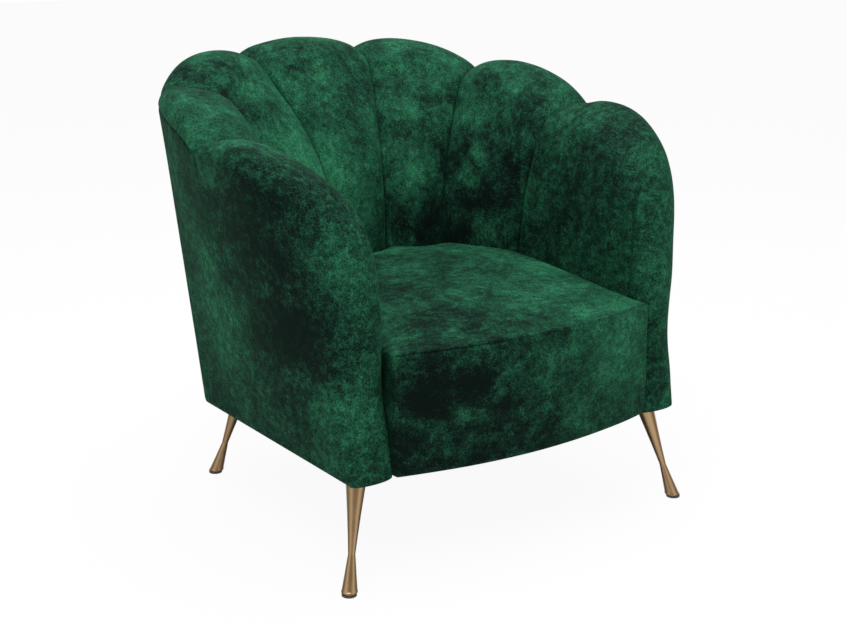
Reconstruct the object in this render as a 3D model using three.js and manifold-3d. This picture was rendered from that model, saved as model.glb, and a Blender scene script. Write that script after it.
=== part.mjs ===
// A scallop-back armchair: seven padded petals stand round a bucket seat, on four hourglass metal legs.
// Lengths are millimetres. x runs to the right as seen from the front, y to the back and z up.
// Depths are counted from the line through the front feet, and heights from the floor.
// The finished chair is centred on its own footprint, with the floor at z = 0.
import * as THREE from "three";
import { mergeVertices } from "three/addons/utils/BufferGeometryUtils.js";
import Module from "manifold-3d";

const wasm = await Module();
wasm.setup();

const { lerp, clamp, degToRad, smoothstep } = THREE.MathUtils;
const QUARTER_TURN = degToRad(90);
const X_AXIS = new THREE.Vector3(1, 0, 0);
const Y_AXIS = new THREE.Vector3(0, 1, 0);
const Z_AXIS = new THREE.Vector3(0, 0, 1);

// Gaps between pieces that touch, and how far a cutting block runs past what it cuts
const GAP = 0.3;
const OVERRUN = 60;

// Plan of the seat, and how far the underside and the crest stand out from it: the arms' width at the
// underside, the shell's flare to the sides and its lean to the back. The sides run straight forward from
// SIDE_BEND_DEPTH.
const SIDE_BEND_DEPTH = 236;
const SEAT_HALF_WIDTH = 266;
const SEAT_REACH = 268;
const ARM_WIDTH = 81;
const SHELL_FLARE = 57;
const SHELL_LEAN = 241;

// Outline of the body at its underside: straight sides, and a bowed back between two rear corners
const BASE_HALF_WIDTH = SEAT_HALF_WIDTH + ARM_WIDTH;
const REAR_CORNER_SETBACK = 2;
const REAR_CORNER_DEPTH = SIDE_BEND_DEPTH + SEAT_REACH + REAR_CORNER_SETBACK;
const REAR_BOW = 139;

// Legs
const LEG_HEIGHT = 180;
const FRONT_FOOT_SPREAD = 8;
const REAR_FOOT_INSET = 59;
const REAR_FOOT_SETBACK = 87;
const LEG_SPLAY = 44;
const LEG_TOP_DIAMETER = 35;
const LEG_WAIST_DIAMETER = 12;
const LEG_WAIST_HEIGHT = 62;
const LEG_FOOT_DIAMETER = 26;
const GLIDE_HEIGHT = 4;
const GLIDE_DIAMETER = 25;
const PLATE_DIAMETER = 56;
const PLATE_THICKNESS = 3;
const STUD_DIAMETER = 8;
const STUD_LENGTH = 14;
const STUD_CLEARANCE = 0.5;

// Base board, dust cloth and seat rails
const DUST_CLOTH = 1;
const BASE_BOARD = 18;
const BASE_FRAME_WIDTH = 76;
const BASE_FRAME_FRONT = 90;
const BASE_FRAME_BACK = 70;
const RAIL_TOP = 300;
const RAIL_THICKNESS = 25;
const SIDE_RAIL_INSIDE = 20;
const SIDE_RAIL_OUTSIDE = 25;
const REAR_RAIL_INSIDE = 44;
const REAR_RAIL_OUTSIDE = 33;

// Springs and deck
const SPRING_WIRE = 4;
const SPRING_PITCH = 75;
const SPRING_HALF_WIDTH = 22;
const SPRING_EDGE = 96;
const SPRING_SEAT = 14;
const DECK_CLOTH = 2;

// Upholstery
const COVER = 3;
const FRONT_PAD = 18;
const FOAM_DEPTH = 36;
const INNER_BOARD = 8;
const PETAL_FOOT = RAIL_TOP + GAP;

// The plan of the shell's inside where the seat meets it, and of its crest, as rounded boxes
const SEAT_LEVEL = 400;
const SEAT_CURVE = { half: SEAT_HALF_WIDTH, reach: SEAT_REACH, roundness: 2.7 };
const CREST_CURVE = { half: BASE_HALF_WIDTH + SHELL_FLARE, reach: SEAT_REACH + SHELL_LEAN, roundness: 2.75 };

// The crest's rounding, inwards, outwards and down, the scalloped seam below it outside, and how late the
// inside's face curves out on its way up to the crest
const CREST_INNER = 95;
const CREST_OUTER = 28;
const CREST_ROUND = 42;
const SEAM_DROP = 20;
const FACE_CURVE = 2.5;

// Petals from the back's centre to the side: places of the seams between them, as shares of the plan curves'
// lengths from the back's centre to the side bend, and how far each crest, each valley at a seam and the
// arm's crest lie below the top of the chair
const CHAIR_HEIGHT = 806;
const PETAL_DROPS = [0, 18, 54];
const VALLEY_DROPS = [26, 67, 114];
const ARM_DROP = 98;
const SEAT_SEAM_SHARES = [0.123, 0.38, 0.745];
const CREST_SEAM_SHARES = [0.171, 0.505, 0.856];
const PETAL_HEIGHTS = PETAL_DROPS.map((drop) => CHAIR_HEIGHT - drop);
const VALLEY_HEIGHTS = VALLEY_DROPS.map((drop) => CHAIR_HEIGHT - drop);
const PETAL_BULGE = 20;
const PETAL_ROUNDNESS = 2.2;
const SEAM_HUMP_SHARE = 0.5;
const CREST_BULGE_SHARE = 0.5;
const REAR_CORNER_SHARE = lerp(CREST_SEAM_SHARES[1], CREST_SEAM_SHARES[2], 1 / 3);

// Arms: side outline as shares of the crest's depth and of the rise from the underside to the crest
const ARM_CREST_DEPTH = 245;
const ARM_CREST_HEIGHT = CHAIR_HEIGHT - ARM_DROP;
const ARM_OUTLINE_SHARES = [
  [0, 0],
  [0.025, 0.07],
  [0.033, 0.14],
  [0.061, 0.227],
  [0.078, 0.31],
  [0.055, 0.4167],
  [0.033, 0.48],
  [0.033, 0.564],
  [0.061, 0.644],
  [0.114, 0.72],
  [0.184, 0.773],
  [0.253, 0.811],
  [0.355, 0.862],
  [0.473, 0.911],
  [0.686, 0.9545],
  [0.857, 0.985],
  [1, 1],
];
const ARM_BACK_SHARES = [0.85, 0.6, 0.4167, 0.2];
const ARM_FLARE_AT_FRONT_SHARE = 0.1;
const ARM_MIDDLE_SHARE = 0.6;
const ARM_TOE_ROUND = 14;
const ARM_SWELL = 8;
const ARM_SPINE_DEPTH = 190;
const ARM_FACE_SHARES = [0.97, 0.7, 0.4];
const ARM_RIM_PAD = 45;
const ARM_SEAM_DEPTH = 62;
const ARM_SEAM_FADE = 108;
const ARM_SEAM_TOP = ARM_CREST_HEIGHT - ARM_SEAM_FADE;
const ARM_SEAM_INSET = 34;
const ARM_RETURN_DEPTH = 70;
const ARM_BOARD_BACK = 80;
const ARM_RIM_STEPS = 8;

// Ribs behind the petals
const RIB_THICKNESS = 18;
const RIB_CLEARANCE = 4;
const LAST_RIB_SHARE = 0.75;

// Seat
const SEAT_BOW = 38;
const SEAT_FRONT_DEPTH = -3;
const SEAT_EDGE_HEIGHT = 388;
const SEAT_CROWN = 16;
const SEAT_RISE = 34;
const SEAT_EDGE_ROUND = 7;
const SEAT_CROWN_SHARES = [
  [0.9, 0.42],
  [0.65, 0.82],
  [0.3, 1],
];

// How finely curved pieces are cut
const PETAL_STEPS = 6;
const FACE_SHARES = [0, 0.45, 0.75];
const BEHIND_SHARES = [0, 0.45, 0.78, 1];
const QUARTER_STEPS = 4;
const FALL_STEPS = 3;
const ROUND_SIDES = 16;
const SIDE_CURVE_POINTS = 40;

// Heights and depths that follow from the sizes above
const BASE_BOTTOM = LEG_HEIGHT + DUST_CLOTH + GAP;
const BASE_TOP = BASE_BOTTOM + BASE_BOARD;
const STANDING = BASE_TOP + GAP;
const SPRING_LEVEL = RAIL_TOP + GAP + SPRING_WIRE / 2;
const DECK_BOTTOM = RAIL_TOP + SPRING_WIRE + 2 * GAP;
const CUSHION_BOTTOM = DECK_BOTTOM + DECK_CLOTH + GAP;
const LINING = COVER + GAP;
const BOARD_DEPTH = FOAM_DEPTH + GAP;
const CAVITY_DEPTH = BOARD_DEPTH + INNER_BOARD;
const ARM_RISE = ARM_CREST_HEIGHT - LEG_HEIGHT;
const ARM_OUTER_SEAM = VALLEY_HEIGHTS[2] - SEAM_DROP;
const REACH = CREST_CURVE.half + CHAIR_HEIGHT;
const CREST_MIDDLE_SHARE = CREST_INNER / (CREST_INNER + CREST_OUTER);
const CUSHION_HALF_WIDTH = SEAT_HALF_WIDTH - 2 * GAP;
const SPRING_SPACING = (SEAT_HALF_WIDTH - SPRING_EDGE) / 2;

const velvet = new THREE.MeshStandardMaterial({ color: 0x1f6347, roughness: 0.85 });
const foam = new THREE.MeshStandardMaterial({ color: 0xe6dcbc, roughness: 0.95 });
const wood = new THREE.MeshStandardMaterial({ color: 0xc8a778, roughness: 0.7 });
const plywood = new THREE.MeshStandardMaterial({ color: 0xb78f5c, roughness: 0.7 });
const steel = new THREE.MeshStandardMaterial({ color: 0x8c8f93, roughness: 0.4, metalness: 0.9 });
const gold = new THREE.MeshStandardMaterial({ color: 0xb08a5e, roughness: 0.3, metalness: 0.95 });
const blackCloth = new THREE.MeshStandardMaterial({ color: 0x202124, roughness: 0.95 });
const darkPlastic = new THREE.MeshStandardMaterial({ color: 0x3a3733, roughness: 0.6 });

// A closed solid from points and triangles, turned to face outwards
function solidOf(points, triangles) {
  const volume = triangles.reduce((sum, [a, b, c]) => {
    return sum + points[a].dot(points[b].clone().cross(points[c]));
  }, 0);
  const facing = volume < 0 ? triangles.map(([a, b, c]) => [a, c, b]) : triangles;
  return new wasm.Manifold(
    new wasm.Mesh({
      numProp: 3,
      vertProperties: new Float32Array(points.flatMap((p) => p.toArray())),
      triVerts: new Uint32Array(facing.flat()),
    }),
  );
}

// A closed solid from a three.js geometry
function solidOfGeometry(geometry) {
  geometry.deleteAttribute("normal");
  geometry.deleteAttribute("uv");
  const merged = mergeVertices(geometry);
  const position = merged.attributes.position;
  const points = [];
  for (let i = 0; i < position.count; i++)
    points.push(new THREE.Vector3().fromBufferAttribute(position, i));
  const triangles = [];
  for (let i = 0; i < merged.index.count; i += 3) {
    const [a, b, c] = merged.index.array.slice(i, i + 3);
    if (a !== b && b !== c && c !== a) triangles.push([a, b, c]);
  }
  return solidOf(points, triangles);
}

function geometryOf(solid) {
  const mesh = solid.getMesh();
  const geometry = new THREE.BufferGeometry();
  geometry.setAttribute("position", new THREE.BufferAttribute(mesh.vertProperties.slice(), 3));
  geometry.setIndex(new THREE.BufferAttribute(mesh.triVerts.slice(), 1));
  const faceted = geometry.toNonIndexed();
  faceted.computeVertexNormals();
  return faceted;
}

// Triangles that close a loft's end ring, in the order of its points; a strip's ring goes up and comes
// back down
function capTriangles(ring) {
  if (ring.strip) {
    const last = ring.points.length - 1;
    return ring.points.slice(0, last / 2).flatMap((_, i) => {
      return [[i, i + 1, last - 1 - i], [i, last - 1 - i, last - i]];
    });
  }
  const outline = ring.points.map((p) => new THREE.Vector2(p.dot(ring.across), p.dot(ring.up)));
  const triangles = THREE.ShapeUtils.triangulateShape(outline, []);
  const areas = triangles.map((corners) => THREE.ShapeUtils.area(corners.map((i) => outline[i])));
  const area = areas.reduce((sum, one) => sum + one, 0);
  const same = area > 0 === THREE.ShapeUtils.area(outline) > 0;
  return same ? triangles : triangles.map(([a, b, c]) => [a, c, b]);
}

// A closed solid through rings that hold as many points each; across and up say how an end ring is laid
// flat
function loft(rings) {
  const count = rings[0].points.length;
  const triangles = [];
  for (let r = 0; r + 1 < rings.length; r++)
    for (let i = 0; i < count; i++) {
      const here = r * count + i;
      const next = r * count + ((i + 1) % count);
      triangles.push([here, next, next + count], [here, next + count, here + count]);
    }
  const last = (rings.length - 1) * count;
  for (const [a, b, c] of capTriangles(rings[0])) triangles.push([a, c, b]);
  for (const [a, b, c] of capTriangles(rings.at(-1))) triangles.push([last + a, last + b, last + c]);
  return solidOf(rings.flatMap((ring) => ring.points), triangles);
}

// A prism of a flat outline: along x the outline is (y, z), along y it is (x, z), along z it is (x, y)
function prism(outline, axis, from, to, holes = []) {
  const shape = new THREE.Shape(outline.map(([a, b]) => new THREE.Vector2(a, b)));
  shape.holes = holes.map((hole) => new THREE.Path(hole.map(([a, b]) => new THREE.Vector2(a, b))));
  const geometry = new THREE.ExtrudeGeometry(shape, { depth: to - from, bevelEnabled: false });
  const place = new THREE.Matrix4();
  if (axis === "x") place.makeBasis(Y_AXIS, Z_AXIS, X_AXIS).setPosition(from, 0, 0);
  if (axis === "y") place.makeBasis(X_AXIS, Z_AXIS, Y_AXIS.clone().negate()).setPosition(0, to, 0);
  if (axis === "z") place.setPosition(0, 0, from);
  return solidOfGeometry(geometry.applyMatrix4(place));
}

function circle(x, y, radius) {
  const points = [];
  for (let i = 0; i < ROUND_SIDES; i++) {
    const angle = (i / ROUND_SIDES) * 4 * QUARTER_TURN;
    points.push([x + radius * Math.cos(angle), y + radius * Math.sin(angle)]);
  }
  return points;
}

// A closed outline moved inwards by its own distance at each point
function insetOutline(points, distances) {
  const turn = Math.sign(THREE.ShapeUtils.area(points.map(([a, b]) => new THREE.Vector2(a, b))));
  const vectors = points.map(([a, b]) => new THREE.Vector2(a, b));
  return vectors.map((point, i) => {
    const before = point.clone().sub(vectors.at(i - 1)).normalize();
    const after = vectors[(i + 1) % vectors.length].clone().sub(point).normalize();
    const along = before.add(after).normalize();
    const stretch = Math.max(Math.abs(along.dot(after)), 0.5);
    const distance = (turn * distances[i]) / stretch;
    return [point.x - along.y * distance, point.y + along.x * distance];
  });
}

// Half of a rounded-box plan curve, from the back's centre to the side bend, measured along its length
function sideCurve({ half, reach, roundness }) {
  const points = [];
  for (let i = 0; i <= SIDE_CURVE_POINTS; i++) {
    const angle = (i / SIDE_CURVE_POINTS) * QUARTER_TURN;
    const x = half * Math.sin(angle) ** (2 / roundness);
    const y = SIDE_BEND_DEPTH + reach * Math.max(Math.cos(angle), 0) ** (2 / roundness);
    points.push(new THREE.Vector2(x, y));
  }
  return new THREE.Path(points);
}

const seatCurve = sideCurve(SEAT_CURVE);
const crestCurve = sideCurve(CREST_CURVE);

// Point and outward direction at a share of a side curve; a negative share is on the left
function onCurve(curve, share) {
  const side = share < 0 ? -1 : 1;
  const place = Math.abs(share);
  const point = curve.getPointAt(place);
  const tangent = place === 0 ? new THREE.Vector2(1, 0) : curve.getTangentAt(place);
  return {
    point: new THREE.Vector3(side * point.x, point.y, 0),
    out: new THREE.Vector3(-side * tangent.y, tangent.x, 0).normalize(),
  };
}

// Point and outward direction on the body's underside, below a share of the crest curve
function onBase(share) {
  const side = share < 0 ? -1 : 1;
  const place = Math.abs(share);
  const radius = (BASE_HALF_WIDTH ** 2 + REAR_BOW ** 2) / (2 * REAR_BOW);
  if (place > REAR_CORNER_SHARE) {
    const forward = (place - REAR_CORNER_SHARE) / (1 - REAR_CORNER_SHARE);
    const y = lerp(REAR_CORNER_DEPTH, SIDE_BEND_DEPTH, forward);
    return { point: new THREE.Vector3(side * BASE_HALF_WIDTH, y, 0), out: new THREE.Vector3(side, 0, 0) };
  }
  const angle = (Math.asin(BASE_HALF_WIDTH / radius) * place) / REAR_CORNER_SHARE;
  const out = new THREE.Vector3(side * Math.sin(angle), Math.cos(angle), 0);
  const centre = new THREE.Vector3(0, REAR_CORNER_DEPTH + REAR_BOW - radius, 0);
  return { point: centre.addScaledVector(out, radius), out };
}

// The petals of the back, right half: the centre one spans both sides of the middle
const petals = CREST_SEAM_SHARES.map((crestEnd, i) => ({
  crest: [i ? CREST_SEAM_SHARES[i - 1] : -crestEnd, crestEnd],
  seat: [i ? SEAT_SEAM_SHARES[i - 1] : -SEAT_SEAM_SHARES[i], SEAT_SEAM_SHARES[i]],
  valleys: [VALLEY_HEIGHTS[Math.max(i - 1, 0)], VALLEY_HEIGHTS[i]],
  height: PETAL_HEIGHTS[i],
}));

// All that a petal's cross-section needs at a share of the way from its first seam to its second
function station(petal, share) {
  const hump = 1 - Math.abs(2 * share - 1) ** PETAL_ROUNDNESS;
  const valley = lerp(...petal.valleys, share);
  const rise = petal.height - (petal.valleys[0] + petal.valleys[1]) / 2;
  const crestShare = lerp(...petal.crest, share);
  return {
    crest: onCurve(crestCurve, crestShare),
    seat: onCurve(seatCurve, lerp(...petal.seat, share)),
    base: onBase(crestShare),
    height: valley + rise * hump,
    seam: valley - SEAM_DROP + SEAM_HUMP_SHARE * rise * hump,
    bulge: PETAL_BULGE * hump,
  };
}

// A point at a height on the shell's inside, some way into the upholstery
function facePoint(at, height, depth) {
  const top = at.height - CREST_ROUND;
  const share = Math.max((height - SEAT_LEVEL) / (top - SEAT_LEVEL), 0);
  const upper = at.crest.point.clone().addScaledVector(at.crest.out, -CREST_INNER);
  const out = at.seat.out.clone().lerp(at.crest.out, share).normalize();
  const place = at.seat.point.clone().lerp(upper, share ** FACE_CURVE);
  return place.addScaledVector(out, depth).setZ(height);
}

// A point at a height on the shell's outside, some way in
function outsidePoint(at, height, depth) {
  const share = (height - LEG_HEIGHT) / (at.seam - LEG_HEIGHT);
  const upper = at.crest.point.clone().addScaledVector(at.crest.out, CREST_OUTER - depth);
  const lower = at.base.point.clone().addScaledVector(at.base.out, -depth);
  return lower.lerp(upper, share).setZ(height);
}

// A petal's surface from the seat up its face and over the crest to the scalloped seam, moved in by inset
function petalPath(at, inset) {
  const points = [];
  const top = at.height - CREST_ROUND;
  for (const share of FACE_SHARES) {
    const bulge = at.bulge * lerp(1, CREST_BULGE_SHARE, share);
    points.push(facePoint(at, lerp(SEAT_LEVEL, top, share), inset - bulge));
  }
  const crestPoint = (out, height) => {
    return at.crest.point.clone().addScaledVector(at.crest.out, out).setZ(height);
  };
  const inner = CREST_INNER + at.bulge * CREST_BULGE_SHARE - inset;
  for (let i = 0; i <= QUARTER_STEPS; i++) {
    const angle = (i / QUARTER_STEPS) * QUARTER_TURN;
    points.push(crestPoint(-inner * Math.cos(angle), top + (CREST_ROUND - inset) * Math.sin(angle)));
  }
  for (let i = 1; i <= FALL_STEPS; i++) {
    const angle = (i / FALL_STEPS) * QUARTER_TURN;
    const height = at.seam + (at.height - at.seam - inset) * Math.cos(angle);
    points.push(crestPoint((CREST_OUTER - inset) * Math.sin(angle), height));
  }
  return points;
}

// A petal's whole cross-section, moved in by inset; an open one runs past its underside and its back
function petalRing(at, inset, open) {
  const overrun = open ? OVERRUN : 0;
  const foot = facePoint(at, PETAL_FOOT - overrun, inset - at.bulge);
  const brow = at.crest.point.clone().addScaledVector(at.crest.out, CREST_OUTER - inset);
  const back = [at.seam - overrun, SEAT_LEVEL, PETAL_FOOT - overrun].map((height) => {
    return facePoint(at, height, CAVITY_DEPTH + overrun);
  });
  return ringOf(at, [foot, ...petalPath(at, inset), brow.setZ(at.seam - overrun - GAP), ...back]);
}

// All behind the shell's inside at a depth into it, up to a clearance below the scalloped seam
function behindFaceRing(at, depth, clearance) {
  const below = at.seam - 2 * RIB_CLEARANCE;
  const heights = [STANDING - OVERRUN, ...BEHIND_SHARES.map((share) => lerp(SEAT_LEVEL, below, share))];
  const pastBelow = (at.seam - clearance - below) / (at.seam - below);
  const edge = (depth) => {
    const top = facePoint(at, below, depth).lerp(facePoint(at, at.seam, depth), pastBelow);
    return [...heights.map((height) => facePoint(at, height, depth)), top];
  };
  return ringOf(at, [...edge(depth), ...edge(depth + CAVITY_DEPTH + OVERRUN).reverse()], true);
}

// All between the shell's inside, some way into it, and its outside at another depth
function insideCoverRing(at, depth, faceDepth, overrun) {
  const top = at.seam - 2 * GAP;
  const heights = [LEG_HEIGHT - overrun, LEG_HEIGHT + COVER, top - COVER, top + overrun];
  const far = heights.map((height) => outsidePoint(at, height, depth));
  const near = heights.map((height) => facePoint(at, height, faceDepth)).reverse();
  return ringOf(at, [...far, ...near], true);
}

// All outside a depth into the shell's outside
function outsideCoverRing(at, depth) {
  const { points } = insideCoverRing(at, depth, 0, OVERRUN);
  const far = insideCoverRing(at, -OVERRUN, 0, OVERRUN).points;
  const count = points.length / 2;
  return ringOf(at, [...points.slice(0, count), ...far.slice(0, count).reverse()], true);
}

function ringOf(at, points, strip = false) {
  return { points, strip, across: at.crest.out, up: Z_AXIS };
}

// A ring moved along the shell, to run a cutting solid past the end of what it cuts
function movedRing(at, ring, distance) {
  const along = new THREE.Vector3().crossVectors(at.crest.out, Z_AXIS);
  return { ...ring, points: ring.points.map((p) => p.clone().addScaledVector(along, distance)) };
}

// A cutting solid through a ring at each station, which runs past both ends
function cutterLoft(stations, ringAt) {
  const first = stations[0];
  const last = stations.at(-1);
  const rings = stations.map(ringAt);
  return loft([movedRing(first, rings[0], -OVERRUN), ...rings, movedRing(last, rings.at(-1), OVERRUN)]);
}

// The part of a petal's width, as a share, that keeps it clear of its seam
function seamClearance(petal) {
  return GAP / ((petal.crest[1] - petal.crest[0]) * crestCurve.getLength());
}

// Stations across a petal, kept clear of its seams; the centre one is taken from its middle
function petalStations(index) {
  const petal = petals[index];
  const clear = seamClearance(petal);
  const first = index ? clear : 1 / 2;
  const steps = index ? PETAL_STEPS : PETAL_STEPS / 2;
  const stations = [];
  for (let i = 0; i <= steps; i++) stations.push(station(petal, lerp(first, 1 - clear, i / steps)));
  return stations;
}

// What a petal's foam leaves free for the cover's folded edges at a seam: all from LINING on its own side
function seamFold(at, towards, way) {
  const [seam, inside] = [at, towards].map((place) => petalRing(place, -COVER, true));
  const share = LINING / at.crest.point.distanceTo(towards.crest.point);
  const near = { ...seam, points: seam.points.map((p, i) => p.clone().lerp(inside.points[i], share)) };
  const rings = [near, movedRing(at, seam, way * OVERRUN)];
  return loft(way < 0 ? rings.reverse() : rings);
}

// Stations from the back's middle, or from a petal's first seam, to another petal's last seam
function shellStations(from, to) {
  const stations = [];
  for (let index = from; index <= to; index++) {
    const steps = index ? PETAL_STEPS : PETAL_STEPS / 2;
    for (let i = index === from ? 0 : 1; i <= steps; i++)
      stations.push(station(petals[index], lerp(index ? 0 : 1 / 2, 1, i / steps)));
  }
  return stations;
}

// Arms

const armValley = crestCurve.getPointAt(CREST_SEAM_SHARES[2]).y;
const armFoldDepth = seatCurve.getPointAt(SEAT_SEAM_SHARES[2]).y;

// The part of the chair in front of the seam between the side petals and the arms, as seen from the side
function armZone(clearance) {
  const outline = [
    [-REACH, -OVERRUN],
    [armFoldDepth + clearance, -OVERRUN],
    [armFoldDepth + clearance, SEAT_LEVEL],
    [armValley + clearance, VALLEY_HEIGHTS[2]],
    [armValley + clearance, REACH],
    [-REACH, REACH],
  ];
  return prism(outline, "x", -REACH, REACH);
}

// How much of the shell's flare the arm has at a depth: it stands nearly upright at its front
function flareAt(depth) {
  const share = clamp(depth / SIDE_BEND_DEPTH, 0, 1);
  return lerp(ARM_FLARE_AT_FRONT_SHARE, 1, Math.sin(share * QUARTER_TURN));
}

function armInnerX(depth, height) {
  const upper = CREST_CURVE.half - CREST_INNER;
  const share = Math.max((height - SEAT_LEVEL) / (ARM_CREST_HEIGHT - CREST_ROUND - SEAT_LEVEL), 0);
  return SEAT_CURVE.half + flareAt(depth) * (upper - SEAT_CURVE.half) * share ** FACE_CURVE;
}

// The arm's outside stands a gap's width proud of the cover's run behind it, and so meets it along an edge
function armOuterX(depth, height) {
  const upper = CREST_CURVE.half + CREST_OUTER;
  const share = (height - LEG_HEIGHT) / (ARM_OUTER_SEAM - LEG_HEIGHT);
  return BASE_HALF_WIDTH + GAP + flareAt(depth) * (upper - BASE_HALF_WIDTH) * share;
}

// A share of the arm's thickness, with the top of its rim moved from the front's place towards the crest's
function widened(depth, share) {
  const middle = lerp(ARM_MIDDLE_SHARE, CREST_MIDDLE_SHARE, flareAt(depth));
  if (share < ARM_MIDDLE_SHARE) return (share * middle) / ARM_MIDDLE_SHARE;
  return 1 - ((1 - share) * (1 - middle)) / (1 - ARM_MIDDLE_SHARE);
}

// The arm's side outline: its front and top, then a back and an underside that run past the seam and the
// base
function armOutline() {
  const rim = ARM_OUTLINE_SHARES.map(([depth, rise]) => {
    return [depth * ARM_CREST_DEPTH, LEG_HEIGHT + rise * ARM_RISE];
  });
  const drop = ARM_CREST_HEIGHT - VALLEY_HEIGHTS[2];
  rim.push([(ARM_CREST_DEPTH + armValley) / 2, ARM_CREST_HEIGHT - drop / 4]);
  rim.push([armValley, VALLEY_HEIGHTS[2]]);
  rim.unshift([0, LEG_HEIGHT - OVERRUN]);
  const backDepth = armFoldDepth + OVERRUN;
  rim.push([backDepth, VALLEY_HEIGHTS[2]]);
  const back = ARM_BACK_SHARES.map((share) => [backDepth, LEG_HEIGHT + share * ARM_RISE]);
  return { rim, back: [...back, [backDepth, LEG_HEIGHT - OVERRUN]] };
}

// The arm as one solid on the right: layers from its inner face over the rounded rim to its outer face,
// moved in by skin.rim, skin.inner and skin.outer
function armSolid(skin) {
  const { rim, back } = armOutline();
  const outline = [...rim, ...back];
  const rounding = rim.map(([, height]) => {
    const round = lerp(ARM_TOE_ROUND, CREST_ROUND, smoothstep(height, LEG_HEIGHT, SEAT_LEVEL));
    return Math.max(round - skin.rim, 0);
  });
  const place = ([depth, height], share) => {
    const inner = armInnerX(depth, height) + skin.inner;
    const outer = armOuterX(depth, height) - skin.outer;
    return new THREE.Vector3(lerp(inner, outer, widened(depth, share)), depth, height);
  };
  const layer = (turnedIn, share) => {
    const distances = outline.map((_, i) => (i < rim.length ? skin.rim + rounding[i] * turnedIn : 0));
    return insetOutline(outline, distances).map((point) => place(point, share));
  };
  const face = (share, towards) =>
    layer(1, share).map((point) => {
      const height = clamp(point.z, LEG_HEIGHT + OVERRUN, ARM_SEAM_TOP);
      const spot = [lerp(point.y, ARM_SPINE_DEPTH, towards), lerp(point.z, height, towards)];
      const placed = place(spot, share);
      const swell = share === 0 ? ARM_SWELL * towards * smoothstep(placed.z, SEAT_LEVEL, ARM_SEAM_TOP) : 0;
      return placed.setX(placed.x - swell);
    });
  const layers = ARM_FACE_SHARES.map((towards) => face(0, towards));
  for (let i = 0; i <= ARM_RIM_STEPS; i++) {
    const angle = (2 * i * QUARTER_TURN) / ARM_RIM_STEPS;
    const spread = Math.cos(angle) > 0 ? ARM_MIDDLE_SHARE : 1 - ARM_MIDDLE_SHARE;
    layers.push(layer(1 - Math.sin(angle), ARM_MIDDLE_SHARE - spread * Math.cos(angle)));
  }
  layers.push(...ARM_FACE_SHARES.map((towards) => face(1, towards)).reverse());
  return loft(layers.map((points) => ({ points, across: Y_AXIS, up: Z_AXIS })));
}

// Everything nearer the seat than the middle of the arm
function armInnerHalf() {
  const low = (SEAT_CURVE.half + BASE_HALF_WIDTH) / 2;
  const high = CREST_CURVE.half;
  const outline = [
    [0, -OVERRUN],
    [low, -OVERRUN],
    [low, SEAT_LEVEL],
    [high, ARM_CREST_HEIGHT],
    [high, REACH],
    [0, REACH],
  ];
  return prism(outline, "y", -REACH, REACH);
}

// The arm's side outline moved in at its front and top
function armInset(distance) {
  const { rim, back } = armOutline();
  return insetOutline([...rim, ...back], [...rim.map(() => distance), ...back.map(() => 0)]);
}

// Side view of the petal's face on the arm: behind the front seam and below the crest's seam
function armPanelOutline(clearance) {
  const rimCount = armOutline().rim.length;
  const top = armInset(ARM_SEAM_INSET + clearance)
    .slice(0, rimCount)
    .filter(([depth, height]) => height > ARM_SEAM_TOP && depth > ARM_SEAM_DEPTH + clearance);
  const backDepth = armFoldDepth + OVERRUN;
  return [
    [ARM_SEAM_DEPTH + clearance, -OVERRUN],
    [ARM_SEAM_DEPTH + clearance, ARM_SEAM_TOP - ARM_SEAM_INSET],
    ...top,
    [backDepth, top.at(-1)[1]],
    [backDepth, -OVERRUN],
  ];
}

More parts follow.
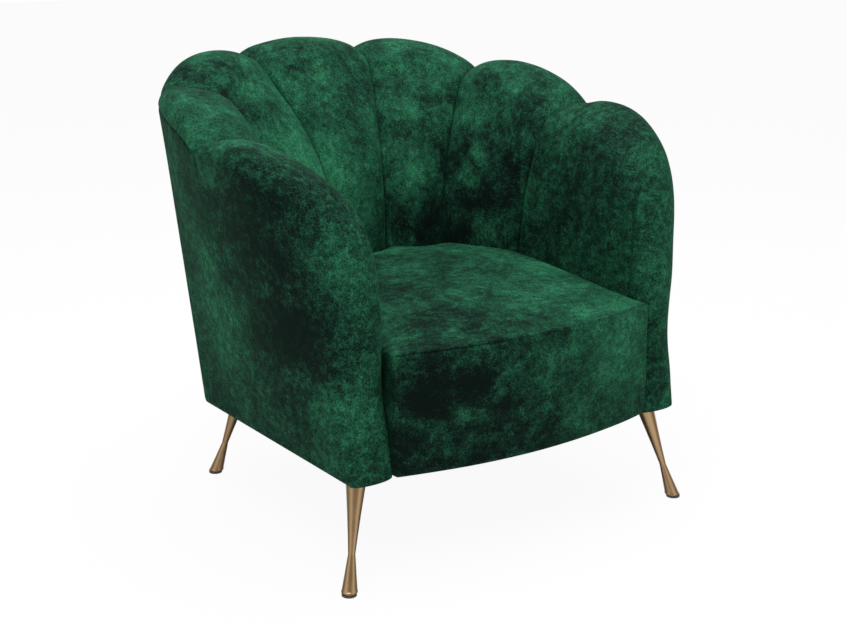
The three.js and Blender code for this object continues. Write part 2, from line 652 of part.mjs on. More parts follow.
function buildArm() {
  const zone = armZone(0).intersect(block([0, REACH], [-REACH, REACH], [LEG_HEIGHT, REACH]));
  const standing = zone.intersect(block([0, REACH], [-REACH, REACH], [STANDING, REACH]));
  const whole = (inset) => armSolid({ rim: inset, inner: inset, outer: inset });
  const core = (depth) => armSolid({ rim: ARM_RIM_PAD, inner: depth, outer: -OVERRUN });
  const boards = prism(armInset(ARM_RIM_PAD + GAP), "x", 0, REACH).intersect(standing);
  const innerHalf = armInnerHalf();
  const runZone = block([0, REACH], [sideRunStations().at(-1).base.point.y, REACH], [0, REACH]);
  const behindRun = cutterLoft(sideRunStations(), (at) => outsideCoverRing(at, LINING)).intersect(runZone);
  const shell = whole(0).subtract(whole(COVER));
  const padding = whole(LINING).subtract(core(FOAM_DEPTH)).subtract(behindRun);

  const panel = prism(armPanelOutline(0), "x", 0, REACH);
  const panelClear = prism(armPanelOutline(-GAP), "x", 0, REACH).intersect(innerHalf);
  const aboveRail = zone.intersect(block([0, REACH], [-REACH, REACH], [PETAL_FOOT, REACH]));
  const overRails = block([0, REACH], [ARM_RETURN_DEPTH, REACH], [0, PETAL_FOOT + GAP]);
  const padBack = SEAT_FRONT_DEPTH + FRONT_PAD;
  const overBase = block([0, REACH], [padBack, REACH], [0, STANDING]);
  const openings = overRails.add(overBase).intersect(innerHalf).add(panelClear);
  const sideCover = shell.subtract(openings).intersect(zone);
  const beforeBase = block([0, REACH], [-REACH, padBack], [BASE_BOTTOM, BASE_TOP + OVERRUN]);
  const front = block([0, REACH], [-REACH, ARM_SEAM_DEPTH], [STANDING, ARM_SEAM_TOP]).add(beforeBase);
  const frontClear = block([0, REACH], [-REACH, ARM_SEAM_DEPTH + GAP], [-REACH, ARM_SEAM_TOP + GAP]);
  const behindPad = block([0, REACH], [-REACH, ARM_BOARD_BACK], [STANDING, REACH]);
  return {
    petalCover: shell.intersect(panel).intersect(innerHalf).intersect(aboveRail),
    sideCover: sideCover.add(outerRun(sideRunStations())),
    frontPad: padding.intersect(front),
    petalFoam: padding.subtract(frontClear).intersect(aboveRail),
    innerBoard: core(BOARD_DEPTH).subtract(core(CAVITY_DEPTH)).intersect(boards),
    frontBoard: whole(LINING + GAP)
      .intersect(core(CAVITY_DEPTH + GAP))
      .intersect(behindPad)
      .intersect(boards),
  };
}

// An upright block between two places along each axis
function block([x0, x1], [y0, y1], [z0, z1]) {
  const outline = [
    [x0, y0],
    [x1, y0],
    [x1, y1],
    [x0, y1],
  ];
  return prism(outline, "z", z0, z1);
}

// Petals, boards, ribs and covers of the back

// A solid and its mirror image across the middle, joined
function joinedHalves(half) {
  return half.add(solidOfGeometry(geometryOf(half).scale(-1, 1, 1)));
}

function buildPetal(index) {
  const stations = petalStations(index);
  const solid = (inset) => loft(stations.map((at) => petalRing(at, inset, false)));
  const inCover = cutterLoft(stations, (at) => petalRing(at, COVER, true));
  const cover = solid(0).subtract(inCover).subtract(armZone(GAP));
  const folds = [seamFold(stations.at(-1), stations.at(-2), 1)];
  if (index) folds.push(seamFold(stations[0], stations[1], -1));
  const padding = solid(LINING).subtract(behindFace(FOAM_DEPTH, 0)).subtract(armZone(GAP));
  const foam = folds.reduce((left, fold) => left.subtract(fold), padding);
  return index ? { cover, foam } : { cover: joinedHalves(cover), foam: joinedHalves(foam) };
}

// All of the shell's right half behind its inside at a depth
function behindFace(depth, clearance) {
  return cutterLoft(shellStations(0, 2), (at) => behindFaceRing(at, depth, clearance));
}

function buildInnerBoard() {
  const rightHalf = block([0, REACH], [-REACH, REACH], [STANDING, REACH]);
  const board = behindFace(BOARD_DEPTH, GAP).subtract(behindFace(CAVITY_DEPTH, -OVERRUN));
  return joinedHalves(board.subtract(armZone(GAP)).intersect(rightHalf));
}

// A run of the outer cover through stations
function outerRun(stations) {
  const inCover = cutterLoft(stations, (at) => insideCoverRing(at, COVER, -OVERRUN, OVERRUN));
  return loft(stations.map((at) => insideCoverRing(at, 0, CAVITY_DEPTH, 0))).subtract(inCover);
}

function buildBackCover() {
  const stations = shellStations(0, 1);
  stations[stations.length - 1] = station(petals[1], 1 - seamClearance(petals[1]));
  return joinedHalves(outerRun(stations));
}

// Stations of the outer cover's run behind the arm
function sideRunStations() {
  const stations = shellStations(2, 2);
  stations[0] = station(petals[2], seamClearance(petals[2]));
  return stations;
}

// A rib between the inner board and the outer cover, standing on the base board
function buildRib(petal, share) {
  const at = station(petal, share);
  const along = new THREE.Vector3().crossVectors(Z_AXIS, at.crest.out);
  const near = at.crest.point.clone().addScaledVector(at.crest.out, -REACH / 2);
  const far = at.crest.point.clone().addScaledVector(at.crest.out, REACH / 2);
  const corner = (point, way) => point.clone().addScaledVector(along, (way * RIB_THICKNESS) / 2);
  const outline = [corner(near, -1), corner(far, -1), corner(far, 1), corner(near, 1)];
  const slice = prism(outline.map((p) => [p.x, p.y]), "z", STANDING, REACH);
  const inCover = cutterLoft(shellStations(0, 2), (place) => {
    return insideCoverRing(place, LINING, -OVERRUN, OVERRUN);
  });
  return slice.intersect(behindFace(CAVITY_DEPTH + GAP, RIB_CLEARANCE)).intersect(inCover);
}

// Base, rails, springs and deck

// Depth of the seat's bowed front at a distance from the middle
function bowAt(x) {
  return SEAT_FRONT_DEPTH - SEAT_BOW * (1 - (x / SEAT_CURVE.half) ** 2);
}

// The bowed front edge from left to right, moved back by depth
function bowPoints(halfWidth, depth) {
  const steps = 2 * QUARTER_STEPS;
  const points = [];
  for (let i = 0; i <= steps; i++) {
    const x = lerp(-halfWidth, halfWidth, i / steps);
    points.push([x, bowAt(x) + depth]);
  }
  return points;
}

const legs = [
  { name: "front_right", x: BASE_HALF_WIDTH + FRONT_FOOT_SPREAD, y: 0, back: 1 },
  {
    name: "rear_right",
    x: BASE_HALF_WIDTH - REAR_FOOT_INSET,
    y: REAR_CORNER_DEPTH + REAR_FOOT_SETBACK,
    back: -1,
  },
];

function boltHoles() {
  const radius = STUD_DIAMETER / 2 + STUD_CLEARANCE;
  return legs.flatMap(({ x, y, back }) => {
    return [-1, 1].map((side) => circle(side * (x - LEG_SPLAY), y + back * LEG_SPLAY, radius));
  });
}

// Outline of what closes the underside, inside the covers; front is how far its bow lies behind the seat's
function baseOutline(front) {
  const half = CUSHION_HALF_WIDTH - LINING;
  const armFront = COVER + FRONT_PAD;
  const points = [...bowPoints(half, front), [half, bowAt(half) + armFront + GAP]];
  points.push([BASE_HALF_WIDTH - LINING, armFront]);
  const steps = 3 * PETAL_STEPS;
  const shares = [];
  for (let i = 0; i <= steps; i++) shares.push(lerp(REAR_CORNER_SHARE, -REAR_CORNER_SHARE, i / steps));
  for (const share of shares) {
    const { point, out } = onBase(share);
    const inside = point.addScaledVector(out, -LINING);
    points.push([clamp(inside.x, LINING - BASE_HALF_WIDTH, BASE_HALF_WIDTH - LINING), inside.y]);
  }
  points.push([LINING - BASE_HALF_WIDTH, armFront], [-half, bowAt(half) + armFront + GAP]);
  return points;
}

function buildBaseBoard() {
  const half = SEAT_HALF_WIDTH - BASE_FRAME_WIDTH;
  const back = SIDE_BEND_DEPTH + SEAT_REACH - BASE_FRAME_BACK;
  const opening = [
    [-half, BASE_FRAME_FRONT],
    [half, BASE_FRAME_FRONT],
    [half, back],
    [-half, back],
  ];
  return prism(baseOutline(COVER + FRONT_PAD), "z", BASE_BOTTOM, BASE_TOP, [opening, ...boltHoles()]);
}

function buildDustCloth() {
  return prism(baseOutline(LINING), "z", LEG_HEIGHT, LEG_HEIGHT + DUST_CLOTH, boltHoles());
}

function buildFrontRail() {
  const halfWidth = CUSHION_HALF_WIDTH - LINING;
  const front = bowPoints(halfWidth, COVER + FRONT_PAD);
  const back = bowPoints(halfWidth, COVER + FRONT_PAD + RAIL_THICKNESS).reverse();
  return prism([...front, ...back], "z", STANDING, RAIL_TOP);
}

// A side rail, notched round the padding of the arm's front and the apron's turned-back end
function buildSideRail() {
  const inside = SEAT_CURVE.half - SIDE_RAIL_INSIDE;
  const front = bowAt(SEAT_CURVE.half) + COVER + FRONT_PAD + RAIL_THICKNESS + GAP;
  const notch = CUSHION_HALF_WIDTH - LINING;
  const outline = [
    [inside, front],
    [notch, front],
    [notch, ARM_RETURN_DEPTH + GAP],
    [SEAT_CURVE.half + SIDE_RAIL_OUTSIDE, ARM_RETURN_DEPTH + GAP],
    [SEAT_CURVE.half + SIDE_RAIL_OUTSIDE, armFoldDepth - SIDE_RAIL_OUTSIDE],
    [inside, armFoldDepth - SIDE_RAIL_OUTSIDE],
  ];
  return prism(outline, "z", STANDING, RAIL_TOP);
}

// A sawn rail that follows the seat curve between two shares of it
function buildCurvedRail(from, to) {
  const steps = 2 * PETAL_STEPS;
  const edge = (depth) => {
    const points = [];
    for (let i = 0; i <= steps; i++) {
      const { point, out } = onCurve(seatCurve, lerp(from, to, i / steps));
      points.push([point.x + out.x * depth, point.y + out.y * depth]);
    }
    return points;
  };
  return prism([...edge(-REAR_RAIL_INSIDE), ...edge(REAR_RAIL_OUTSIDE).reverse()], "z", STANDING, RAIL_TOP);
}

function seatCurveDepth(x) {
  const { half, reach, roundness } = SEAT_CURVE;
  return SIDE_BEND_DEPTH + reach * (1 - (Math.abs(x) / half) ** roundness) ** (1 / roundness);
}

// The outline of a strip of a width along a path, with mitred corners
function ribbon(path, width) {
  const vectors = path.map(([a, b]) => new THREE.Vector2(a, b));
  const edge = (side) => {
    return vectors.map((point, i) => {
      const before = i ? point.clone().sub(vectors[i - 1]).normalize() : null;
      const after = i + 1 < vectors.length ? vectors[i + 1].clone().sub(point).normalize() : before;
      const along = after.clone().add(before ?? after).normalize();
      const distance = (side * width) / 2 / along.dot(after);
      return [point.x - along.y * distance, point.y + along.x * distance];
    });
  };
  return [...edge(-1), ...edge(1).reverse()];
}

// A zigzag spring from the front rail to the rear rail
function buildSpring(x) {
  const start = bowAt(x) + COVER + FRONT_PAD + SPRING_SEAT;
  const end = seatCurveDepth(Math.abs(x) + SPRING_HALF_WIDTH) - PETAL_BULGE - SPRING_SEAT;
  const waves = Math.round((end - start) / SPRING_PITCH);
  const pitch = (end - start) / waves;
  const path = [];
  for (let i = 0; i < waves; i++)
    for (const [side, share] of [[-1, 0], [-1, 1 / 2], [1, 1 / 2], [1, 1]])
      path.push([x + side * SPRING_HALF_WIDTH, start + (i + share) * pitch]);
  const bottom = SPRING_LEVEL - SPRING_WIRE / 2;
  return prism(ribbon(path, SPRING_WIRE), "z", bottom, bottom + SPRING_WIRE);
}

// Seat

// The cushion's outline: the bowed front, then the petals' faces from the right arm round to the left
function cushionOutline() {
  const half = CUSHION_HALF_WIDTH;
  const right = [[half, SIDE_BEND_DEPTH]];
  for (const petal of [petals[2], petals[1]])
    for (let i = PETAL_STEPS; i > 0; i--) right.push(station(petal, i / PETAL_STEPS));
  for (let i = PETAL_STEPS; i >= PETAL_STEPS / 2; i--) right.push(station(petals[0], i / PETAL_STEPS));
  const points = right.map((at) => {
    if (Array.isArray(at)) return at;
    const point = facePoint(at, SEAT_LEVEL, -at.bulge - 2 * GAP);
    return [Math.min(point.x, half), point.y];
  });
  const left = points.slice(0, -1).map(([x, y]) => [-x, y]).reverse();
  return [...bowPoints(half, 0), ...points, ...left];
}

// The cushion in layers: straight sides, a drawn-in edge that rises to the back and a crown, all moved in by
// inset
function cushionSolid(inset, bottom) {
  const outline = cushionOutline();
  const middle = [0, (bowAt(0) + seatCurveDepth(0)) / 2];
  const riseAt = (y) => SEAT_RISE * clamp(y / (SIDE_BEND_DEPTH + SEAT_REACH), 0, 1);
  const layer = (height, distance, rises) => {
    const moved = insetOutline(outline, outline.map(() => distance));
    return moved.map(([x, y]) => new THREE.Vector3(x, y, height + rises * riseAt(y)));
  };
  const rounded = layer(SEAT_EDGE_HEIGHT - inset, inset + SEAT_EDGE_ROUND / 2, 1);
  const layers = [
    layer(bottom, inset, 0),
    layer(SEAT_EDGE_HEIGHT - SEAT_EDGE_ROUND - inset, inset, 1),
    rounded,
  ];
  for (const [spread, rise] of SEAT_CROWN_SHARES)
    layers.push(
      rounded.map((p) => {
        const x = lerp(middle[0], p.x, spread);
        const y = lerp(middle[1], p.y, spread);
        return new THREE.Vector3(x, y, SEAT_EDGE_HEIGHT + riseAt(y) + SEAT_CROWN * rise - inset);
      }),
    );
  return loft(layers.map((points) => ({ points, across: X_AXIS, up: Y_AXIS })));
}

function buildSeat() {
  const half = CUSHION_HALF_WIDTH;
  const apronTop = (RAIL_TOP + SEAT_EDGE_HEIGHT) / 2;
  const inHalf = half - COVER;
  const apronOutline = (turnedBack) => {
    const outline = [...bowPoints(half, 0), [half, turnedBack], [inHalf, turnedBack]];
    return [...outline, ...bowPoints(inHalf, COVER).reverse(), [-inHalf, turnedBack], [-half, turnedBack]];
  };
  const lowApron = prism(apronOutline(SEAT_FRONT_DEPTH + FRONT_PAD), "z", LEG_HEIGHT, apronTop);
  const apron = lowApron.add(prism(apronOutline(ARM_SEAM_DEPTH), "z", STANDING, apronTop));
  const cover = cushionSolid(0, CUSHION_BOTTOM).subtract(cushionSolid(COVER, CUSHION_BOTTOM - OVERRUN));
  const padHalf = inHalf - GAP;
  const padBack = bowPoints(padHalf, COVER + FRONT_PAD - GAP).reverse();
  const padOutline = [...bowPoints(padHalf, LINING), ...padBack];
  const outline = insetOutline(cushionOutline(), cushionOutline().map(() => LINING + COVER));
  return {
    cover: cover.add(apron),
    foam: cushionSolid(LINING, CUSHION_BOTTOM),
    frontPad: prism(padOutline, "z", BASE_BOTTOM, RAIL_TOP),
    deck: prism(outline, "z", DECK_BOTTOM, DECK_BOTTOM + DECK_CLOTH),
  };
}

// Legs

// A turned leg of two cones that meet at the waist, leaning in from its foot, cut level at both ends
function buildLeg(x, y, back) {
  const lean = new THREE.Vector3(-LEG_SPLAY, back * LEG_SPLAY, LEG_HEIGHT);
  const stretch = lean.length() / LEG_HEIGHT;
  const radiusAt = (height) => {
    if (height < LEG_WAIST_HEIGHT)
      return lerp(LEG_FOOT_DIAMETER, LEG_WAIST_DIAMETER, height / LEG_WAIST_HEIGHT) / 2;
    const share = (height - LEG_WAIST_HEIGHT) / (LEG_HEIGHT - LEG_WAIST_HEIGHT);
    return lerp(LEG_WAIST_DIAMETER, LEG_TOP_DIAMETER, share) / 2;
  };
  const heights = [-GLIDE_DIAMETER, LEG_WAIST_HEIGHT, LEG_HEIGHT + LEG_TOP_DIAMETER];
  const profile = heights.map((height) => new THREE.Vector2(radiusAt(height), height * stretch));
  profile.unshift(new THREE.Vector2(0, profile[0].y));
  profile.push(new THREE.Vector2(0, profile.at(-1).y));
  const turned = new THREE.LatheGeometry(profile, ROUND_SIDES);
  const tilt = new THREE.Quaternion().setFromUnitVectors(Y_AXIS, lean.clone().normalize());
  turned.applyQuaternion(tilt).translate(x, y, 0);
  const top = LEG_HEIGHT - PLATE_THICKNESS - 2 * GAP;
  const level = block([0, REACH], [-REACH, REACH], [GLIDE_HEIGHT + GAP, top]);
  const centre = [x - LEG_SPLAY, y + back * LEG_SPLAY];
  const stud = prism(circle(...centre, STUD_DIAMETER / 2), "z", top - STUD_LENGTH, LEG_HEIGHT + STUD_LENGTH);
  return solidOfGeometry(turned).intersect(level).add(stud);
}

function buildLegPlate(x, y, back) {
  const centre = [x - LEG_SPLAY, y + back * LEG_SPLAY];
  const hole = circle(...centre, STUD_DIAMETER / 2 + STUD_CLEARANCE);
  const bottom = LEG_HEIGHT - PLATE_THICKNESS - GAP;
  return prism(circle(...centre, PLATE_DIAMETER / 2), "z", bottom, LEG_HEIGHT - GAP, [hole]);
}

// The whole chair

const chair = new THREE.Group();
const leftSide = new THREE.Group();
leftSide.scale.x = -1;
chair.add(leftSide);

function addPiece(name, solid, material, parent = chair) {
  const mesh = new THREE.Mesh(geometryOf(solid), material);
  mesh.name = name;
  parent.add(mesh);
}

// A piece on the right and its mirror image on the left
function addPair(name, solid, material) {
  addPiece("right_" + name, solid, material);
  addPiece("left_" + name, solid, material, leftSide);
}

function addBase() {
  addPiece("base_board", buildBaseBoard(), plywood);
  addPiece("dust_cloth", buildDustCloth(), blackCloth);
  addPiece("front_seat_rail", buildFrontRail(), wood);
  addPair("side_seat_rail", buildSideRail(), wood);
  const [, cornerStart, cornerEnd] = SEAT_SEAM_SHARES;
  const join = GAP / seatCurve.getLength();
  addPiece("rear_seat_rail", buildCurvedRail(-cornerStart, cornerStart), wood);
  addPair("corner_seat_rail", buildCurvedRail(cornerStart + join, cornerEnd), wood);
  addPiece("seat_spring_3", buildSpring(0), steel);
  addPair("seat_spring_inner", buildSpring(SPRING_SPACING), steel);
  addPair("seat_spring_outer", buildSpring(2 * SPRING_SPACING), steel);
}

function addBack() {
  const [centre, back, side] = petals.map((_, index) => buildPetal(index));
  addPiece("centre_petal_cover", centre.cover, velvet);
  addPiece("centre_petal_foam", centre.foam, foam);
  addPair("back_petal_cover", back.cover, velvet);
  addPair("back_petal_foam", back.foam, foam);
  addPair("side_petal_cover", side.cover, velvet);
  addPair("side_petal_foam", side.foam, foam);
  addPiece("back_inner_board", buildInnerBoard(), plywood);
  addPiece("back_outer_cover", buildBackCover(), velvet);
  addPair("centre_rib", buildRib(petals[0], 1), plywood);
  addPair("back_rib", buildRib(petals[1], 1), plywood);
  addPair("side_rib", buildRib(petals[2], LAST_RIB_SHARE), plywood);
}

function addArms() {
  const arm = buildArm();
  addPair("arm_petal_cover", arm.petalCover, velvet);
  addPair("arm_petal_foam", arm.petalFoam, foam);
  addPair("arm_front_pad", arm.frontPad, foam);
  addPair("arm_front_board", arm.frontBoard, plywood);
  addPair("arm_inner_board", arm.innerBoard, plywood);
  addPair("side_outer_cover", arm.sideCover, velvet);
}

function addSeat() {
  const seat = buildSeat();
  addPiece("seat_cover", seat.cover, velvet);
  addPiece("seat_foam", seat.foam, foam);
  addPiece("seat_front_pad", seat.frontPad, foam);
  addPiece("seat_deck_cloth", seat.deck, blackCloth);
}

function addLegs() {
  for (const { name, x, y, back } of legs) {
    const end = name.replace("_right", "");
    addPair(end + "_leg", buildLeg(x, y, back), gold);
    addPair(end + "_leg_plate", buildLegPlate(x, y, back), steel);
    const glide = prism(circle(x, y, GLIDE_DIAMETER / 2), "z", 0, GLIDE_HEIGHT);
    addPair(end + "_foot_glide", glide, darkPlastic);
  }
}

addBase();
addBack();
addArms();
addSeat();
addLegs();

// Centred on its footprint, with its feet on the floor
const bounds = new THREE.Box3().setFromObject(chair);
chair.position.set(0, -(bounds.min.y + bounds.max.y) / 2, -bounds.min.z);

const part = new THREE.Group();
part.add(chair);
export default part;
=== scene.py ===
"""The looks of the scallop-back armchair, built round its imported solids.

Lengths are millimetres unless a name says otherwise. x runs to the right as seen from the front, y to the
back from the line through the front feet, and z up from the floor. in_frame() turns them into metres.
"""

import math

import bmesh
import bpy
import numpy as np
from mathutils import Matrix, Vector


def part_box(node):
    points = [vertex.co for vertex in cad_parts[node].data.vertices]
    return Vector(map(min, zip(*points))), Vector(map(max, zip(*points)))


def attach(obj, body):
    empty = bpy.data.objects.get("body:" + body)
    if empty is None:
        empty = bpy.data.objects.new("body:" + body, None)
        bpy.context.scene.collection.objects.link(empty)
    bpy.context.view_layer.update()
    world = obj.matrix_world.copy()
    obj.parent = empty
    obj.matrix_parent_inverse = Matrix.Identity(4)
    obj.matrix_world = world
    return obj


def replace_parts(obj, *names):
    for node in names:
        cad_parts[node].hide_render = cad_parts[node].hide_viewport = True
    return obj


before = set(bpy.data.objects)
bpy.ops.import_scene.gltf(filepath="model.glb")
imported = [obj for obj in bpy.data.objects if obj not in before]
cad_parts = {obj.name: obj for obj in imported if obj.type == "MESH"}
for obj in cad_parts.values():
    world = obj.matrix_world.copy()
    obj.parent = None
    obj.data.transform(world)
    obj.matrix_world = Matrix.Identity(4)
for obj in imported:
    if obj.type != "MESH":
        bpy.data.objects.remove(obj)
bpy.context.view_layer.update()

scene = bpy.context.scene

MM = 0.001
foot_low, foot_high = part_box("right_front_foot_glide")
FEET_LINE = (foot_low.y + foot_high.y) / 2

# Heights of the underside, the seat and the petals' hidden feet
UNDERSIDE = 180
PETAL_FOOT = 300.5
SEAT_LEVEL = 400

# Plan curves of the shell where the seat meets it, and of its crest: half width, reach and roundness
BEND = 236
SEAT_PLAN = (266, 268, 2.7)
CREST_PLAN = (404, 509, 2.75)
CREST_INNER, CREST_OUTER, CREST_ROUND = 95, 28, 42
FACE_CURVE = 2.5

# Base outline: straight sides, and a back bowed between two rear corners
BASE_HALF, REAR_CORNER, REAR_BOW = 347, 506, 139
REAR_RADIUS = (BASE_HALF**2 + REAR_BOW**2) / (2 * REAR_BOW)
CORNER_TURN_SHARE = 0.03

# Petals from the middle of the back to the side: shares of the plan curves, valleys and crest heights
SEAT_SEAMS = (0.123, 0.38, 0.725)
CREST_SEAMS = (0.171, 0.505, 0.856)
VALLEYS = (780, 739, 692)
CRESTS = (806, 788, 752)
SEAM_DROP = 20
BULGE = 20
HUMP_SQUARE = 2.2
REAR_CORNER_SHARE = CREST_SEAMS[1] + (CREST_SEAMS[2] - CREST_SEAMS[1]) / 3

# Arm: outline from the side, from its front's foot up and back towards the valley, and where its rim lies
# across its thickness, as shares at the front and at the bend
ARM_CREST = 708
ARM_OUTLINE = (
    (-6, 180), (-1, 217), (1, 254), (9, 300), (9, 344), (4, 400), (3, 434), (8, 479), (14, 521), (25, 559),
    (38, 587), (53, 610), (79, 638), (116, 661), (168, 684), (210, 695), (245, 700), (296, 700),
)
ARM_MIDDLE = (0.5, 0.62)
CREST_MIDDLE = CREST_INNER / (CREST_INNER + CREST_OUTER)
ARM_SWELL = 8

# Seat
SEAT_BOW = 38
SEAT_FRONT = -3
SEAT_EDGE = 388
SEAT_CROWN = 16
SEAT_RISE = 34
SEAT_HALF = 265.2


def lerp(a, b, share):
    return a + (b - a) * share


def smoothstep(x, low, high):
    share = np.clip((x - low) / (high - low), 0, 1)
    return share * share * (3 - 2 * share)


def in_frame(points):
    """Points in millimetres from the feet's line and the floor, as the frame's metres."""
    placed = np.asarray(points, float) * MM
    placed[..., 1] += FEET_LINE
    return placed


def unit(vectors):
    return vectors / np.maximum(np.linalg.norm(vectors, axis=-1, keepdims=True), 1e-9)


def eased(count, ease=0.6):
    """Places from 0 to 1 that lie closer together towards both ends."""
    even = np.linspace(0, 1, count)
    return lerp(even, (1 - np.cos(math.pi * even)) / 2, ease)


# Plan curves and outline of the shell

class PlanCurve:
    """Half of a rounded-box plan curve, by share of its length from the back's middle to the side bend, and
    straight forward from there. A negative share is on the left."""

    def __init__(self, half, reach, roundness):
        angle = np.linspace(0, math.pi / 2, 4001)
        x = half * np.sin(angle) ** (2 / roundness)
        y = BEND + reach * np.clip(np.cos(angle), 0, None) ** (2 / roundness)
        run = np.concatenate([[0], np.cumsum(np.hypot(np.diff(x), np.diff(y)))])
        self.length = run[-1]
        self.share = np.linspace(0, 1, 241)
        self.x = np.interp(self.share * self.length, run, x)
        self.y = np.interp(self.share * self.length, run, y)
        along_x, along_y = np.gradient(self.x), np.gradient(self.y)
        along_x[0], along_y[0] = 1, 0
        size = np.hypot(along_x, along_y)
        self.out_x, self.out_y = -along_y / size, along_x / size

    def at(self, share):
        side, place = np.where(share < 0, -1, 1), np.abs(share)
        ahead = np.clip(place - 1, 0, None) * self.length
        x = np.interp(place, self.share, self.x)
        y = np.interp(place, self.share, self.y) - ahead
        out_x = np.where(place > 1, 1, np.interp(place, self.share, self.out_x))
        out_y = np.where(place > 1, 0, np.interp(place, self.share, self.out_y))
        return np.stack([side * x, y], -1), np.stack([side * out_x, out_y], -1)


seat_plan = PlanCurve(*SEAT_PLAN)
crest_plan = PlanCurve(*CREST_PLAN)


def base_plan(share):
    """Point and outward direction on the underside's outline, below a share of the crest's plan."""
    side, place = np.where(share < 0, -1, 1), np.abs(share)
    angle = math.asin(BASE_HALF / REAR_RADIUS) * np.minimum(place / REAR_CORNER_SHARE, 1)
    forward = (place - REAR_CORNER_SHARE) / (1 - REAR_CORNER_SHARE)
    straight = place > REAR_CORNER_SHARE
    x = np.where(straight, BASE_HALF, REAR_RADIUS * np.sin(angle))
    y = REAR_CORNER + REAR_BOW - REAR_RADIUS * (1 - np.cos(angle))
    y = np.where(straight, lerp(REAR_CORNER, BEND, forward), y)
    turn = smoothstep(place, REAR_CORNER_SHARE - CORNER_TURN_SHARE, REAR_CORNER_SHARE + CORNER_TURN_SHARE)
    angle = lerp(angle, math.pi / 2, turn)
    return np.stack([side * x, y], -1), np.stack([side * np.sin(angle), np.cos(angle)], -1)


PETALS = []
for index, crest in enumerate(CRESTS):
    before = index - 1
    PETALS.append({
        "crest": (CREST_SEAMS[before] if index else -CREST_SEAMS[0], CREST_SEAMS[index]),
        "seat": (SEAT_SEAMS[before] if index else -SEAT_SEAMS[0], SEAT_SEAMS[index]),
        "valleys": (VALLEYS[max(before, 0)], VALLEYS[index]),
        "height": crest,
    })


def width_of(petal):
    return (petal["crest"][1] - petal["crest"][0]) * crest_plan.length


class Station:
    """What a petal's cross-sections need, at shares of the way from its first seam to its second."""

    def __init__(self, petal, share):
        hump = 1 - np.abs(2 * share - 1) ** HUMP_SQUARE
        valley = lerp(*petal["valleys"], share)
        rise = petal["height"] - sum(petal["valleys"]) / 2
        self.crest_share = lerp(*petal["crest"], share)
        self.crest, self.crest_out = crest_plan.at(self.crest_share)
        self.seat, self.seat_out = seat_plan.at(lerp(*petal["seat"], share))
        self.base, self.base_out = base_plan(self.crest_share)
        self.height = valley + rise * hump
        self.seam = valley - SEAM_DROP + 0.5 * rise * hump
        self.bulge = BULGE * hump


def upright(plan, height):
    """Plan points given their heights."""
    return np.concatenate([plan, np.broadcast_to(height, plan.shape[:-1])[..., None]], -1)


def face_point(at, height, depth):
    """A point at a height on the shell's inside, some way into the upholstery."""
    top = at.height - CREST_ROUND
    share = np.clip((height - SEAT_LEVEL) / (top - SEAT_LEVEL), 0, None)[..., None]
    out = unit(lerp(at.seat_out, at.crest_out, share))
    upper = at.crest - at.crest_out * CREST_INNER
    depth = np.broadcast_to(depth, share.shape[:-1])[..., None]
    return upright(lerp(at.seat, upper, share**FACE_CURVE) + out * depth, height)


def outside_point(at, height, depth):
    """A point at a height on the shell's outside, some way in."""
    share = ((height - UNDERSIDE) / (at.seam - UNDERSIDE))[..., None]
    upper = at.crest + at.crest_out * (CREST_OUTER - depth)
    return upright(lerp(at.base - at.base_out * depth, upper, share), height)


# Sheets of points: rows by columns by three

def smoothed(sheet, times, axis=0, fixed=2):
    """A sheet relaxed along one axis, with its end rows left where they are."""
    sheet = np.moveaxis(sheet.copy(), axis, 0)
    for _ in range(times):
        middle = (sheet[:-2] + 2 * sheet[1:-1] + sheet[2:]) / 4
        keep = slice(fixed, len(sheet) - fixed)
        sheet[keep] = middle[fixed - 1 : len(middle) - fixed + 1]
    return np.moveaxis(sheet, 0, axis)


UP, LEFT, RIGHT, REARWARD = np.array([[0, 0, 1], [-1, 0, 0], [1, 0, 0], [0, 1, 0]])


def outward_normals(sheet, row, column, way):
    """Unit normals of a sheet, turned so that the one at a row and column points a given way."""
    normal = unit(np.cross(np.gradient(sheet, axis=1), np.gradient(sheet, axis=0)))
    return normal * np.sign(normal[row, column] @ way)


def run_along(line):
    """Distances of a line's points along it."""
    return np.concatenate([[0], np.cumsum(np.linalg.norm(np.diff(line, axis=0), axis=1))])


def points_along(line, runs):
    """Points at distances along a line."""
    own = run_along(line)
    return np.stack([np.interp(runs, own, values) for values in line.T], -1)


def edge_runs(sheet):
    """Distances along the sheet from its first and last row and its first and last column."""
    rows = np.linalg.norm(np.diff(sheet, axis=0), axis=-1)
    rows = np.concatenate([np.zeros((1, sheet.shape[1])), np.cumsum(rows, 0)])
    columns = np.linalg.norm(np.diff(sheet, axis=1), axis=-1)
    columns = np.concatenate([np.zeros((sheet.shape[0], 1)), np.cumsum(columns, 1)], 1)
    return rows, rows[-1:] - rows, columns, columns[:, -1:] - columns


def tuck(distance, radius, depth):
    """How far a cushion's edge is drawn in, by distance from its seam, in a quarter round."""
    near = 1 - np.clip(distance / radius, 0, 1)
    return depth * (1 - np.sqrt(np.clip(1 - near * near, 0, 1)))


def lumps(sheet, size, seed):
    """Soft unevenness from -1 to 1, with humps about a size across."""
    random = np.random.default_rng(seed)
    total = np.zeros(sheet.shape[:-1])
    for _ in range(9):
        way = random.normal(size=3)
        way *= 2 * math.pi / (size * random.uniform(1.4, 3.2)) / np.linalg.norm(way)
        total += np.sin(sheet @ way + random.uniform(0, 6.28))
    return total / 4


def unevenness(sheet, waves, seed):
    """Unevenness of a filled cover, from waves that are each a size across, a height and their own seed."""
    return sum(height * lumps(sheet, size, seed + own) for size, height, own in waves)


